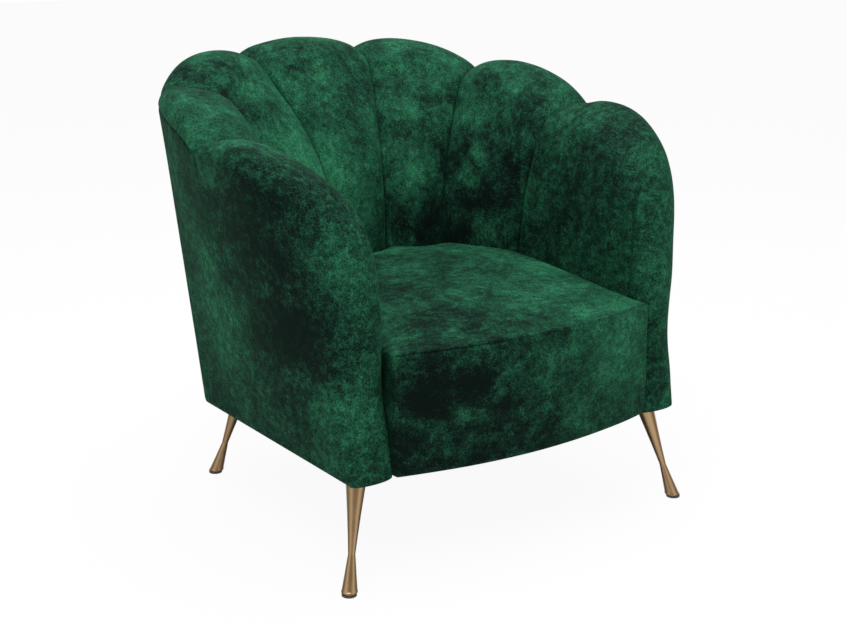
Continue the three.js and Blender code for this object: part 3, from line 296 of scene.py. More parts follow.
def gathers(sheet, normal, place, reach, along, pitch, depth, seed=1):
    """Small pulled folds round a place near a seam: ridges that repeat along a direction and fade away."""
    away = sheet - np.asarray(place, float)
    along = unit(np.asarray(along, float))
    run = away @ along
    side = np.linalg.norm(away - run[..., None] * along, axis=-1)
    fade = np.exp(-((run / reach[0]) ** 2) * 2) * np.exp(-((side / reach[1]) ** 2) * 2)
    random = np.random.default_rng(seed)
    phase = run * (2 * math.pi / pitch) + 0.9 * np.sin(run / (0.9 * pitch) + random.uniform(0, 6.28))
    wave = np.sin(phase + side * 0.035 * random.uniform(-1, 1))
    return sheet + normal * (wave * fade * depth)[..., None]


def on_side(sheet, side):
    """A sheet made for the middle or the right side, mirrored where it stands on the left."""
    return sheet * np.array([-1.0 if side == "left" else 1.0, 1, 1])


# Meshes

def grid_mesh(mesh, sheet):
    """Adds a grid to a bmesh and lays it on a sheet of points. Returns its vertices."""
    rows, columns = sheet.shape[:2]
    made = bmesh.ops.create_grid(mesh, x_segments=columns - 1, y_segments=rows - 1, size=0.5)["verts"]
    for vert in made:
        column = round((vert.co.x + 0.5) * (columns - 1))
        row = round((vert.co.y + 0.5) * (rows - 1))
        vert.co = sheet[row, column]
    return made


def finish_piece(name, mesh, material):
    """Makes an object of a bmesh that stands in the frame, and lets it ride on the chair."""
    bmesh.ops.recalc_face_normals(mesh, faces=mesh.faces[:])
    for face in mesh.faces:
        face.smooth = True
    data = bpy.data.meshes.new(name)
    mesh.to_mesh(data)
    mesh.free()
    piece = bpy.data.objects.new(name, data)
    scene.collection.objects.link(piece)
    data.materials.append(material)
    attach(piece, "root")
    return piece


def subdivided(piece):
    subdivision = piece.modifiers.new("finer", "SUBSURF")
    subdivision.levels = subdivision.render_levels = 1
    return piece


def thickened(piece, metres, offset):
    cloth = piece.modifiers.new("cloth", "SOLIDIFY")
    cloth.thickness = metres
    cloth.offset = offset
    return piece


def pad_piece(name, outer, inner, material, nodes):
    """A closed padded piece between an outer and an inner sheet, joined round their edges."""
    mesh = bmesh.new()
    edges = []
    for sheet in (outer, inner):
        made = grid_mesh(mesh, in_frame(sheet))
        edges += {edge for vert in made for edge in vert.link_edges if edge.is_boundary}
    bmesh.ops.bridge_loops(mesh, edges=edges)
    piece = subdivided(finish_piece(name, mesh, material))
    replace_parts(piece, *nodes)


def wrap_piece(name, sheets, nodes):
    """A velvet wrap drawn over the frame, laid on sheets of points that meet."""
    mesh = bmesh.new()
    for sheet in sheets:
        grid_mesh(mesh, in_frame(sheet))
    if len(sheets) > 1:
        bmesh.ops.remove_doubles(mesh, verts=mesh.verts[:], dist=0.0012)
    wrap = subdivided(thickened(finish_piece(name, mesh, velvet_arms), 0.003, -1))
    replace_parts(wrap, *nodes)


# Materials

# The velvet's tones from crushed to brushed pile, as screen values, and the sums of its noise and its painted
# light and shade at their two ends
VELVET_TONES = (
    (0.0, (5, 16, 13)), (0.25, (12, 38, 29)), (0.5, (23, 67, 48)), (0.76, (35, 94, 66)), (1.0, (50, 125, 88)),
)
CRUSHED, BRUSHED = 1.18, 1.8
# The gold's tint at shares of its facing from the view, in painted reflection bands
METAL_PAINTED_REFLECTIONS = (
    (0.03, (112, 90, 63)), (0.13, (176, 147, 111)), (0.3, (140, 113, 81)), (0.46, (84, 62, 42)),
    (0.62, (150, 118, 86)), (0.9, (70, 52, 36)),
)


def set_inputs(tree, made, inputs):
    """Sets a node's inputs, and links those that are given a socket."""
    for name, value in inputs.items():
        if isinstance(value, bpy.types.NodeSocket):
            tree.links.new(value, made.inputs[name])
        else:
            made.inputs[name].default_value = value


def node(tree, kind, inputs={}, **settings):
    made = tree.nodes.new("ShaderNode" + kind)
    for name, value in settings.items():
        setattr(made, name, value)
    set_inputs(tree, made, inputs)
    return made


def new_material(name):
    """A material, its tree and its shader."""
    material = bpy.data.materials.new(name)
    material.use_nodes = True
    tree = material.node_tree
    tree.nodes.clear()
    shader = tree.nodes.new("ShaderNodeBsdfPrincipled")
    tree.links.new(shader.outputs["BSDF"], tree.nodes.new("ShaderNodeOutputMaterial").inputs["Surface"])
    return material, tree, shader


def place_of(tree, scale=(1, 1, 1), shift=(0, 0, 0)):
    where = node(tree, "TexCoord").outputs["Object"]
    return node(tree, "Mapping", {"Vector": where, "Scale": scale, "Location": shift}).outputs["Vector"]


def noise_of(tree, where, scale, detail=3, roughness=0.55, distortion=0.0):
    return node(tree, "TexNoise", {
        "Vector": where, "Scale": scale, "Detail": detail, "Roughness": roughness, "Distortion": distortion,
    }).outputs["Fac"]


def colour(screen):
    """A colour written as screen values of 0 to 255, for a shader's socket."""
    values = []
    for part in screen:
        part /= 255
        values.append(part / 12.92 if part <= 0.04045 else ((part + 0.055) / 1.055) ** 2.4)
    return (*values, 1)


def ramp(tree, factor, *stops):
    """A factor's colour, between stops that are each a position and screen values."""
    made = node(tree, "ValToRGB", {"Fac": factor})
    points = made.color_ramp.elements
    while len(points) < len(stops):
        points.new(0.5)
    for point, (position, screen) in zip(points, stops):
        point.position = position
        point.color = colour(screen)
    return made.outputs["Color"]


def span(tree, value, low, high, to_low=0.0, to_high=1.0, kind="LINEAR"):
    """A value's place between a low and a high one, carried over to another span."""
    inputs = {"Value": value, "From Min": low, "From Max": high, "To Min": to_low, "To Max": to_high}
    return node(tree, "MapRange", inputs, interpolation_type=kind).outputs["Result"]


def maths(tree, operation, first, second):
    return node(tree, "Math", {0: first, 1: second}, operation=operation).outputs["Value"]


def total(tree, *weighted):
    """The sum of values, each given with its weight."""
    result = None
    for value, weight in weighted:
        part = value if weight == 1 else maths(tree, "MULTIPLY", value, weight)
        result = part if result is None else maths(tree, "ADD", result, part)
    return result


def bump(tree, height, strength, metres, under=None):
    inputs = {"Height": height, "Strength": strength, "Distance": metres}
    if under is not None:
        inputs["Normal"] = under
    return node(tree, "Bump", inputs).outputs["Normal"]


def painted_light_at(tree, place, reach, lift, ragged):
    """Painted light and shade: how much lighter or darker the velvet's colour is painted near a place, with a
    ragged edge.
    """
    where = node(tree, "TexCoord").outputs["Object"]
    away = node(tree, "VectorMath", {0: where, 1: in_frame(place)}, operation="DISTANCE").outputs["Value"]
    away = total(tree, (away, 1), (ragged, 0.36))
    return span(tree, away, 0.12, reach * MM + 0.26, lift, 0.0, "SMOOTHSTEP")


def crushed_velvet(name, stretch, shift, uneven, clumped, lighter, brushed_and_painted_light):
    """Crushed velvet: patches of pile that lie this way and that, with flecked edges, over fine pile. Each of
    brushed is a place, a reach and how much lighter or darker its colour is painted there: painted light and
    shade over the pile's own patches. lighter raises or lowers the whole piece's colour, a painted light
    level for this part of the one fabric."""
    material, tree, shader = new_material(name)
    where = place_of(tree, stretch, shift)
    broad = noise_of(tree, where, 3.4, 2, 0.5, 0.2)
    patches = noise_of(tree, where, 12, 10, 0.74, 0.15)
    flecks = noise_of(tree, where, 70, 8, 0.8, 0.3)
    clumps = span(tree, flecks, 0.46, 0.56)
    pile = noise_of(tree, place_of(tree), 380, 3, 0.75)
    # Places painted lighter or darker: painted light and shade added to the pile's noise
    painted_patches = [(painted_light_at(tree, *painted_patch, patches), 1) for painted_patch in brushed_and_painted_light]
    grains = ((broad, uneven), (patches, 1), (flecks, 0.5), (clumps, clumped), (pile, 1))
    pile_and_painted_light = total(tree, *grains, *painted_patches)
    lighter -= clumped / 2
    under = bump(tree, flecks, 0.25, 0.0015, bump(tree, patches, 0.3, 0.004))
    set_inputs(tree, shader, {
        "Base Color": ramp(tree, span(tree, pile_and_painted_light, CRUSHED - lighter, BRUSHED - lighter), *VELVET_TONES),
        "Roughness": 0.85, "Specular IOR Level": 0.05,
        "Sheen Weight": 0.11, "Sheen Roughness": 0.4, "Sheen Tint": colour((80, 180, 130)),
        "Normal": bump(tree, pile, 0.5, 0.0007, under),
    })
    return material


# The last two arguments of each velvet paint light and shade: an overall painted light level for the part,
# and places painted lighter or darker, such as a darker left side of the seat and of the left arm and lighter
# fronts of the arms
velvet_petals = crushed_velvet("velvet_petals", (1.25, 1.25, 0.95), (0, 0, 0), 0.28, 0.06, 0.105, (
    ((-300, 470, 700), 150, -0.02), ((-60, 640, 690), 150, -0.1), ((60, 520, 480), 130, -0.02),
    ((-110, 500, 540), 140, 0.34), ((-250, 590, 740), 130, -0.06), ((220, 500, 470), 150, -0.33),
    ((310, 420, 590), 120, -0.16), ((-330, 560, 780), 110, -0.1), ((-400, 400, 760), 110, 0.04),
))
velvet_arms = crushed_velvet("velvet_arms", (1.0, 0.9, 1.0), (1.7, 0.4, 0.9), 0.45, 0.11, -0.09, (
    ((-420, 150, 500), 240, -0.3), ((-380, 240, 720), 120, 0.2), ((-350, 40, 560), 110, 0.17),
    ((-320, 0, 330), 130, 0.24), ((-322, 8, 500), 80, 0.26), ((-345, 70, 625), 80, 0.14),
    ((-368, 85, 450), 80, -0.14), ((-405, 320, 400), 110, 0.14), ((-395, 120, 640), 80, -0.1),
    ((330, 20, 450), 150, 0.26), ((330, 60, 640), 130, 0.12), ((285, 300, 560), 70, 0.1),
    ((-370, 440, 330), 150, 0.1),
))
velvet_seat = crushed_velvet("velvet_seat", (0.9, 1.1, 1.1), (0.3, 2.1, 0.5), 0.45, 0.07, -0.03, (
    ((130, 60, 400), 200, 0.1), ((-230, -10, 290), 150, -0.28), ((-60, -40, 270), 130, -0.16),
    ((-40, 300, 410), 150, -0.06), ((210, -30, 310), 120, 0.1),
))


def turned_metal():
    """Satin gold-coloured metal with painted reflections: its colour runs through bands from where it faces
    the view to its rims, as plated legs look in a white room."""
    material, tree, shader = new_material("gold_metal")
    brushed_and_painted_light = noise_of(tree, place_of(tree, (1, 1, 30)), 60, 3, 0.6)
    cloudy = noise_of(tree, place_of(tree), 25, 3)
    # Facing from the view sets the base colour's bands: painted reflections
    turned = node(tree, "LayerWeight", {"Blend": 0.5}).outputs["Facing"]
    set_inputs(tree, shader, {
        "Base Color": ramp(tree, total(tree, (turned, 1), (cloudy, 0.06)), *METAL_PAINTED_REFLECTIONS), "Metallic": 1,
        "Roughness": span(tree, brushed_and_painted_light, 0.3, 0.7, 0.2, 0.32), "Normal": bump(tree, brushed_and_painted_light, 0.1, 0.0002),
    })
    return material


def plain_metal(name, tone):
    material, tree, shader = new_material(name)
    cloudy = noise_of(tree, place_of(tree), 90, 4)
    set_inputs(tree, shader, {
        "Base Color": ramp(tree, cloudy, (0.3, [part * 0.85 for part in tone]), (0.7, tone)), "Metallic": 1,
        "Roughness": span(tree, cloudy, 0.3, 0.7, 0.3, 0.42), "Normal": bump(tree, cloudy, 0.1, 0.0002),
    })
    return material


def timber(name, light, dark, stretch):
    """Wood with long grain and fine pores."""
    material, tree, shader = new_material(name)
    where = place_of(tree, stretch)
    pores = noise_of(tree, where, 90, 3, 0.7)
    both = total(tree, (noise_of(tree, where, 14, 6, 0.6, 1.6), 0.8), (pores, 0.2))
    set_inputs(tree, shader, {
        "Base Color": ramp(tree, both, (0.32, dark), (0.68, light)),
        "Roughness": span(tree, pores, 0.3, 0.7, 0.6, 0.75), "Normal": bump(tree, both, 0.2, 0.0005),
    })
    return material


def woven(name, light, dark, threads):
    """Plain cloth of crossing threads."""
    material, tree, shader = new_material(name)
    where = place_of(tree)
    waves = []
    for way in "XY":
        wave = node(tree, "TexWave", {"Vector": where, "Scale": threads}, bands_direction=way)
        waves.append(wave.outputs["Fac"])
    both = total(tree, (maths(tree, "MAXIMUM", *waves), 0.5), (noise_of(tree, where, 40, 4), 0.5))
    set_inputs(tree, shader, {
        "Base Color": ramp(tree, both, (0.25, dark), (0.85, light)),
        "Roughness": 0.95, "Normal": bump(tree, both, 0.4, 0.0004),
    })
    return material


def cellular_foam():
    material, tree, shader = new_material("seat_foam_cells")
    cells = node(tree, "TexVoronoi", {"Vector": place_of(tree), "Scale": 900}).outputs["Distance"]
    cloudy = noise_of(tree, place_of(tree), 12, 3)
    set_inputs(tree, shader, {
        "Base Color": ramp(tree, cloudy, (0.3, (222, 208, 168)), (0.7, (236, 226, 194))),
        "Roughness": 0.95, "Normal": bump(tree, cells, 0.6, 0.0006),
    })
    return material


def moulded_plastic():
    material, tree, shader = new_material("glide_plastic")
    grain = noise_of(tree, place_of(tree), 400, 3)
    set_inputs(tree, shader, {
        "Base Color": ramp(tree, grain, (0.3, (52, 47, 42)), (0.7, (70, 64, 57))),
        "Roughness": span(tree, grain, 0.3, 0.7, 0.4, 0.55), "Normal": bump(tree, grain, 0.15, 0.0002),
    })
    return material


gold = turned_metal()
steel = plain_metal("spring_steel", (150, 152, 156))
plywood = timber("plywood", (205, 170, 122), (160, 118, 74), (1, 6, 1))
beech = timber("beech", (214, 180, 134), (178, 138, 92), (2, 2, 14))
black_cloth = woven("black_cloth", (44, 44, 47), (18, 18, 20), 260)
foam = cellular_foam()
plastic = moulded_plastic()

CARRIED = {
    "spring": steel, "leg_plate": steel, "glide": plastic, "rail": beech, "rib": plywood, "board": plywood,
    "foam": foam, "pad": foam, "cloth": black_cloth, "leg": gold, "cover": velvet_arms,
}
for name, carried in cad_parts.items():
    finish = next(material for word, material in CARRIED.items() if word in name)
    carried.data.materials.clear()
    carried.data.materials.append(finish)


# Petals of the back

# Rows up the foot, up the face, over the crest and down to the outer seam, and columns across a petal
FOOT_ROWS, FACE_ROWS, OVER_ROWS, OUTER_ROWS = 5, 51, 12, 10
PETAL_COLUMNS = 41
# Gap at the seams, how far beside them the cover is drawn in and how deep, and how much deeper at the seat
SEAM_CLEAR = 0.35
PETAL_SEAM = (26, 7.5)
SEAM_SLANT = 0.8
LOW_SEAM = 1.5
UNDER_TURN, UNDER_DROP = 12, 5
LEAST_ROUND = 2
PETAL_LINING = 32.0
PETAL_CALM = 30
PETAL_LUMPS = ((90, 1.4, 0), (38, 0.5, 7))


def petal_sheet(at, inset):
    """The petal's surface in rows: up its foot and face, over its crest and in under the outer seam."""
    rows = []
    top = at.height - CREST_ROUND
    for share in np.linspace(0, 1, FOOT_ROWS, endpoint=False):
        rows.append(face_point(at, lerp(PETAL_FOOT, SEAT_LEVEL, share), LOW_SEAM * inset - at.bulge))
    for share in np.linspace(0, 1, FACE_ROWS, endpoint=False):
        depth = inset * lerp(LOW_SEAM, 1, share**4) - at.bulge * lerp(1, 0.5, share)
        rows.append(face_point(at, lerp(SEAT_LEVEL, top, share), depth))

    def crest_point(out, height):
        return upright(at.crest + at.crest_out * out[..., None], height)

    inner = np.maximum(CREST_INNER + at.bulge / 2 - inset, LEAST_ROUND)
    rise = np.maximum(CREST_ROUND - inset, LEAST_ROUND)
    for angle in np.linspace(0, math.pi / 2, OVER_ROWS, endpoint=False):
        rows.append(crest_point(-inner * math.cos(angle), top + rise * math.sin(angle)))
    outer = np.maximum(CREST_OUTER - inset, LEAST_ROUND)
    fall = np.maximum(at.height - at.seam - inset, LEAST_ROUND)
    for angle in np.linspace(0, math.pi / 2, OUTER_ROWS):
        rows.append(crest_point(outer * math.sin(angle), at.seam + fall * math.cos(angle)))
    for share in (0.35, 0.75, 1):
        turned = np.maximum(outer - UNDER_TURN * share**2, LEAST_ROUND / 2)
        rows.append(crest_point(turned, at.seam - UNDER_DROP * math.sqrt(1 - (1 - share) ** 2)))
    return smoothed(np.array(rows), 6, fixed=4)


def build_petals(petal, word, sides, seed):
    """Padded petals of one shape, one for each side that it stands on."""
    width = width_of(petal)
    share = lerp(SEAM_CLEAR / width, 1 - SEAM_CLEAR / width, eased(PETAL_COLUMNS))
    at = Station(petal, share)
    near_seam = np.minimum(share, 1 - share) * width * SEAM_SLANT
    outer = petal_sheet(at, tuck(near_seam, *PETAL_SEAM))
    inner = petal_sheet(at, np.full(PETAL_COLUMNS, PETAL_LINING))
    crest_row = FOOT_ROWS + FACE_ROWS + OVER_ROWS
    for side in sides:
        name = f"{side}_{word}"
        shaped = on_side(outer, side)
        normal = outward_normals(shaped, crest_row, PETAL_COLUMNS // 2, UP)
        high = unevenness(shaped, PETAL_LUMPS, seed + (side == "left")) * smoothstep(near_seam, 0, PETAL_CALM)
        shaped = shaped - normal * high[..., None]
        pad_piece(name, shaped, on_side(inner, side), velvet_petals, (f"{name}_cover", f"{name}_foam"))


build_petals(PETALS[0], "petal", ("centre",), 3)
build_petals(PETALS[1], "back_petal", ("right", "left"), 11)
build_petals(PETALS[2], "side_petal", ("right", "left"), 22)


# Arms

RIM_COLUMNS = 151
# The rolled edge: its radius at the foot, where it ends beside the side petal, and its rows inside and out
ROLL_FOOT, ROLL_END = 14, 20
INNER_ROWS, OUTWARD_ROWS = 19, 13
# How far the sides have opened at the front, how much more above the elbow, and how much less below it
FRONT_FLARE, UPPER_FLARE, FRONT_PINCH = 0.1, 0.1, 0.07
ELBOW = (470, 600)
PINCHED = (8, 46)
# The inner seam: its depth at the front, and heights along the crest with its distances from the rim there
FRONT_SEAM_DEPTH = 47
CREST_SEAM = ((520, 550, 580, 600, 625), (36, 30, 18, 6, 3))
SEAM_BLEND = (500, 530)
# Where the side's flat has its upper front corner
CORNER_HEIGHT = 606


def resampled(points, count):
    """A smooth line through points, in even steps of its length."""
    points = np.asarray(points, float)
    ends = [2 * points[0] - points[1], *points, 2 * points[-1] - points[-2]]
    line = []
    for a, b, c, d in zip(ends[:-3], ends[1:-2], ends[2:-1], ends[3:]):
        bend, twist = 2 * a - 5 * b + 4 * c - d, 3 * b - a - 3 * c + d
        for share in np.linspace(0, 1, 11, endpoint=False):
            line.append(0.5 * (2 * b + (c - a) * share + bend * share**2 + twist * share**3))
    line = np.array([*line, points[-1]])
    line = smoothed(line[:, None], 40, fixed=1)[:, 0]
    return points_along(line, np.linspace(0, run_along(line)[-1], count))


def flare(depth):
    """How far the arm's sides have opened out, from its front to the shell's side bend."""
    return lerp(FRONT_FLARE, 1, np.sin(np.clip(depth / BEND, 0, 1) * math.pi / 2))


def arm_inner_x(depth, height):
    lower = np.interp(depth, seat_plan.y[::-1], seat_plan.x[::-1])
    upper = np.interp(depth, crest_plan.y[::-1], crest_plan.x[::-1]) - CREST_INNER
    share = np.clip((height - SEAT_LEVEL) / (ARM_CREST - CREST_ROUND - SEAT_LEVEL), 0, None)
    return lower + flare(depth) * (upper - lower) * share**FACE_CURVE


def arm_outer_x(depth, height):
    upper = CREST_PLAN[0] + CREST_OUTER
    share = (height - UNDERSIDE) / (VALLEYS[2] - SEAM_DROP - UNDERSIDE)
    high = smoothstep(height, *ELBOW)
    spread = flare(depth)
    spread = spread + UPPER_FLARE * (1 - spread) * high
    spread = spread - FRONT_PINCH * (1 - smoothstep(depth, *PINCHED)) * (1 - high)
    return BASE_HALF + spread * (upper - BASE_HALF) * share


def rim_end(columns):
    """Goes from 0 to 1 over the rim's last columns."""
    return smoothstep(np.arange(RIM_COLUMNS), RIM_COLUMNS - columns, RIM_COLUMNS - 1)


def roll_radius(height):
    return lerp(ROLL_FOOT, CREST_ROUND, smoothstep(height, UNDERSIDE, SEAT_LEVEL))


# The seam between the side petal and the arm, seen from the side
valley_depth = crest_plan.at(np.array(CREST_SEAMS[2]))[0][1]
fold_depth = seat_plan.at(np.array(SEAT_SEAMS[2]))[0][1]

# The arm's rim, the way in from it, the radius of its roll and the distance of the inner seam
rim = resampled([*ARM_OUTLINE, (valley_depth, VALLEYS[2])], RIM_COLUMNS)
fine_rim = resampled([*ARM_OUTLINE, (valley_depth, VALLEYS[2])], 1401)
rim[:, 0] -= SEAM_CLEAR * rim_end(8)
rim_along = unit(np.gradient(rim, axis=0))
rim_in = np.stack([rim_along[:, 1], -rim_along[:, 0]], -1)
rim_in = lerp(np.array([1.0, 0]), rim_in, smoothstep(rim[:, 1], UNDERSIDE, 250)[:, None])
slant = unit(np.array([fold_depth - valley_depth, SEAT_LEVEL - VALLEYS[2]]))
rim_in = unit(lerp(rim_in, slant, rim_end(16)[:, None]))
rim_round = roll_radius(rim[:, 1])
on_crest = smoothstep(rim[:, 1], *SEAM_BLEND)
seam_inset = lerp(FRONT_SEAM_DEPTH - rim[:, 0], np.interp(rim[:, 1], *CREST_SEAM), on_crest)
corner = int(np.argmin(np.abs(rim[:, 1] - CORNER_HEIGHT)))


def arm_x(depth, height, away):
    """Where the arm's skin lies across its thickness; away is 1 at its inside, 0 on its rim, -1 outside."""
    middle = lerp(lerp(*ARM_MIDDLE, flare(depth)), CREST_MIDDLE, smoothstep(depth, 270, valley_depth))
    share = middle - np.where(away > 0, middle, 1 - middle) * away
    return lerp(arm_inner_x(depth, height), arm_outer_x(depth, height), share)


def arm_inside(depth, height):
    """A point on the arm's inside, which rolls over towards its rim."""
    spots = np.stack([depth, height], -1)
    inset = np.array([np.linalg.norm(row[:, None] - fine_rim, axis=-1).min(-1) for row in spots])
    away = np.cos(np.arcsin(np.clip(1 - inset / roll_radius(height), 0, 1)))
    return np.stack([arm_x(depth, height, away), depth, height], -1)


def arm_roll():
    """The arm's rolled edge in rows, from its inner seam over the rim to the flat of its outer side."""
    start = 1 - seam_inset / rim_round
    start = np.where(start > 0, np.arcsin(np.clip(start, 0, 1)), start)
    last = lerp(rim_round, ROLL_END, rim_end(9))
    end = math.pi - np.arcsin(np.clip(1 - last / rim_round, 0, 1))
    middle = math.pi / 2
    angles = [lerp(start, middle, share) for share in np.linspace(0, 1, INNER_ROWS, endpoint=False)]
    angles += [lerp(middle, end, share) for share in np.linspace(0, 1, OUTWARD_ROWS)]
    rows = []
    for angle in angles:
        inset = rim_round * np.where(angle < 0, 1 - angle, 1 - np.sin(angle))
        place = rim + rim_in * inset[:, None]
        x = arm_x(*place.T, np.cos(np.maximum(angle, 0)))
        rows.append(np.stack([x, *place.T], -1))
    return np.array(rows)


# The outer side: distances forward from the seam behind the side petal to the bend and to the arm's seam
BEND_RUN = (1 - CREST_SEAMS[1]) * crest_plan.length
SIDE_RUN = (CREST_SEAMS[2] - CREST_SEAMS[1]) * crest_plan.length
SIDE_COLUMNS = 33
MEETING = 10
# Panels: the gap at a corner, how far they stay below the petals, and how they fill in behind their ends
CORNER_CLEAR = 0.05
PANEL_BELOW = 2
CORNER_FILL, CORNER_REACH = 4.5, 18


def outer_place(run, height):
    """A point on the outside, by its distance forward from the seam behind the side petal."""
    at = Station(PETALS[2], np.clip(run / SIDE_RUN, 0, 1))
    share = np.minimum(CREST_SEAMS[1] + run / crest_plan.length, 1)
    at.crest, at.crest_out = crest_plan.at(share)
    at.base, at.base_out = base_plan(share)
    behind = outside_point(at, height, 0)
    depth = BEND + BEND_RUN - run
    ahead = np.stack([arm_outer_x(depth, height), depth, height], -1)
    return np.where((depth < BEND)[..., None], ahead, behind)


def run_of(depth):
    """Distance forward from the seam behind the side petal to a depth."""
    share = np.interp(-depth, -crest_plan.y, crest_plan.share)
    return np.where(depth < BEND, BEND_RUN + BEND - depth, (share - CREST_SEAMS[1]) * crest_plan.length)


def coons(low, high, first, last, rise=None):
    """A sheet between a low and a high row and a first and a last column of points."""
    i = (np.linspace(0, 1, len(first)) if rise is None else rise)[:, None, None]
    run = run_along(high)
    j = (run / run[-1])[None, :, None]
    sides = lerp(first[:, None], last[:, None], j)
    ends = lerp(low[None], high[None], i)
    corners = lerp(lerp(low[0], low[-1], j), lerp(high[0], high[-1], j), i)
    return sides + ends - corners


def panel_top(at, near_corner):
    """Height of a panel's top, which reaches higher behind the drawn-in ends of two petals."""
    return at.seam - PANEL_BELOW + CORNER_FILL * (1 - smoothstep(near_corner, 0, CORNER_REACH))


def panel_tuck(below, above, near_corner, free_top):
    """How far a panel is drawn in at its foot and corners and, where its top is free, under the petals."""
    foot = tuck(below, 4, 1.5) * smoothstep(near_corner, 0, 12)
    under = tuck(above, 9, lerp(9, 4.5, smoothstep(near_corner, 0, 25))) * free_top
    return np.maximum(np.maximum(foot, tuck(near_corner, 4, 1.2)), under)


def outer_side():
    """The arm's roll, the flat from it back to the rear corner, and how many of its columns meet the roll."""
    roll = arm_roll()
    edge = roll[-1]
    first = np.stack([run_of(edge[: corner + 1, 1]), edge[: corner + 1, 2]], -1)
    top_front = np.stack([run_of(edge[corner:, 1]), edge[corner:, 2]], -1)
    seams = np.linspace(1, 0, SIDE_COLUMNS + 1)[1:]
    top_back = np.stack([seams * SIDE_RUN, panel_top(Station(PETALS[2], seams), seams * SIDE_RUN)], -1)
    top = np.concatenate([top_front, top_back])
    last = np.stack([np.full(len(first), CORNER_CLEAR), np.linspace(UNDERSIDE, top[-1, 1], len(first))], -1)
    run = run_along(top)
    low = lerp(first[0, 0], CORNER_CLEAR, run / run[-1])
    low = np.stack([low, np.full(len(top), float(UNDERSIDE))], -1)
    flat = coons(low, top, first, last)
    side = outer_place(flat[..., 0], flat[..., 1])
    # The flat meets the roll exactly, with what it is moved by fading over a few columns and rows
    rows, columns = side.shape[:2]
    off_front = edge[: corner + 1] - side[:, 0]
    side = side + off_front[:, None] * (1 - smoothstep(np.arange(columns), 0, MEETING))[None, :, None]
    meets = RIM_COLUMNS - corner
    off_top = np.zeros((columns, 3))
    off_top[:meets] = edge[corner:] - side[-1, :meets]
    side = side + off_top[None] * (1 - smoothstep(np.arange(rows)[::-1], 0, MEETING))[:, None, None]
    return roll, side, meets


# The arm's padded face: its rows, its seams and its lining
ARM_FACE_ROWS = 64
FACE_FRONT_SEAM = (15, 8)
FACE_REAR_RADIUS, FACE_REAR_DEPTHS = 26, (5, 10)
ARM_LINING, LINING_DROP = 30.0, 6
# Depths along the crest over which the seam's crease fades, and its depths on the roll and on the face
CREASE_ENDS = (95, 125)
ROLL_CREASES = (7, 3, 0)
FACE_CREASE = 2.2
# Small pulled folds above the elbow
GATHERS_AT, GATHERS_REACH, GATHERS_ALONG = (300, 48, 575), (65, 26), (0, 0.3, 0.95)
GATHERS_PITCH, GATHERS_DEPTH = 10, 3.4


def arm_face(seam_line):
    """The padded face of the arm inside its seam, and its lining."""
    start = int(np.argmin(np.abs(rim[:, 1] - PETAL_FOOT)))
    front, top = seam_line[start : corner + 1], seam_line[corner:]
    # Rows lie closer together towards the crest, where the face rolls over
    rise = 1 - (1 - np.linspace(0, 1, ARM_FACE_ROWS)) ** 1.9
    front = points_along(front, rise * run_along(front)[-1])
    height = lerp(PETAL_FOOT, top[-1, 1], rise)
    depths = np.array([fold_depth, fold_depth, valley_depth]) - SEAM_CLEAR
    back = np.stack([np.interp(height, [PETAL_FOOT, SEAT_LEVEL, VALLEYS[2]], depths), height], -1)
    back[-1] = top[-1]
    run = run_along(top)
    low = lerp(front[0], back[0], (run / run[-1])[:, None])
    flat = coons(low, top, front, back, rise)
    face = arm_inside(flat[..., 0], flat[..., 1])
    _, above, ahead, behind = edge_runs(face)
    swell = ARM_SWELL * smoothstep(np.minimum(ahead, behind), 0, 110) * smoothstep(above, 30, 120)
    rear_seam = tuck(behind, FACE_REAR_RADIUS, lerp(*FACE_REAR_DEPTHS, smoothstep(above, 0, 120)))
    face[..., 0] += np.maximum(tuck(ahead, *FACE_FRONT_SEAM), rear_seam) - swell
    face[..., 2] -= tuck(above, 8, FACE_CREASE * (1 - smoothstep(top[:, 0], *CREASE_ENDS)))
    lining = face + np.array([ARM_LINING, 0, 0])
    rows = len(face)
    lining[..., 2] -= LINING_DROP * smoothstep(np.arange(rows), rows - 12, rows - 1)[:, None]
    return face, lining


def drawn_roll(roll):
    """The roll, drawn in at its inner seam and beside the side petal, with small folds above the elbow."""
    below, _, _, behind = edge_runs(roll)
    outward = outward_normals(roll, 10, 60, LEFT)
    past_corner = rim[:, 0] * (np.arange(RIM_COLUMNS) > corner)
    inside = 1 - smoothstep(np.arange(len(roll)), 17, 29)[:, None]
    drawn = tuck(below, 12, np.interp(past_corner, (0, *CREASE_ENDS), ROLL_CREASES))
    drawn = drawn + 7 * (1 - smoothstep(behind, 0, 90)) * inside + tuck(behind, 12, lerp(6, 2, inside))
    roll = roll - outward * drawn[..., None]
    return gathers(roll, outward, GATHERS_AT, GATHERS_REACH, GATHERS_ALONG, GATHERS_PITCH, GATHERS_DEPTH, 4)


def drawn_side(side, meets):
    below, above, _, behind = edge_runs(side)
    free_top = smoothstep(np.arange(side.shape[1]), meets - 2, meets + 2)[None]
    drawn = panel_tuck(below, above, behind, free_top)
    return side - outward_normals(side, 20, 40, RIGHT) * drawn[..., None]


def build_arms():
    roll, side, meets = outer_side()
    face, lining = arm_face(roll[0][:, 1:])
    roll, side = drawn_roll(roll), drawn_side(side, meets)
    for word in ("right", "left"):
        petal = f"{word}_arm_petal"
        nodes = (f"{petal}_cover", f"{petal}_foam")
        pad_piece(petal, on_side(face, word), on_side(lining, word), velvet_arms, nodes)
        nodes = (f"{word}_side_outer_cover", f"{word}_arm_front_pad")
        wrap_piece(f"{word}_arm_wrap", (on_side(roll, word), on_side(side, word)), nodes)


build_arms()


# Outer back

BACK_ROWS, BACK_COLUMNS = 61, 31


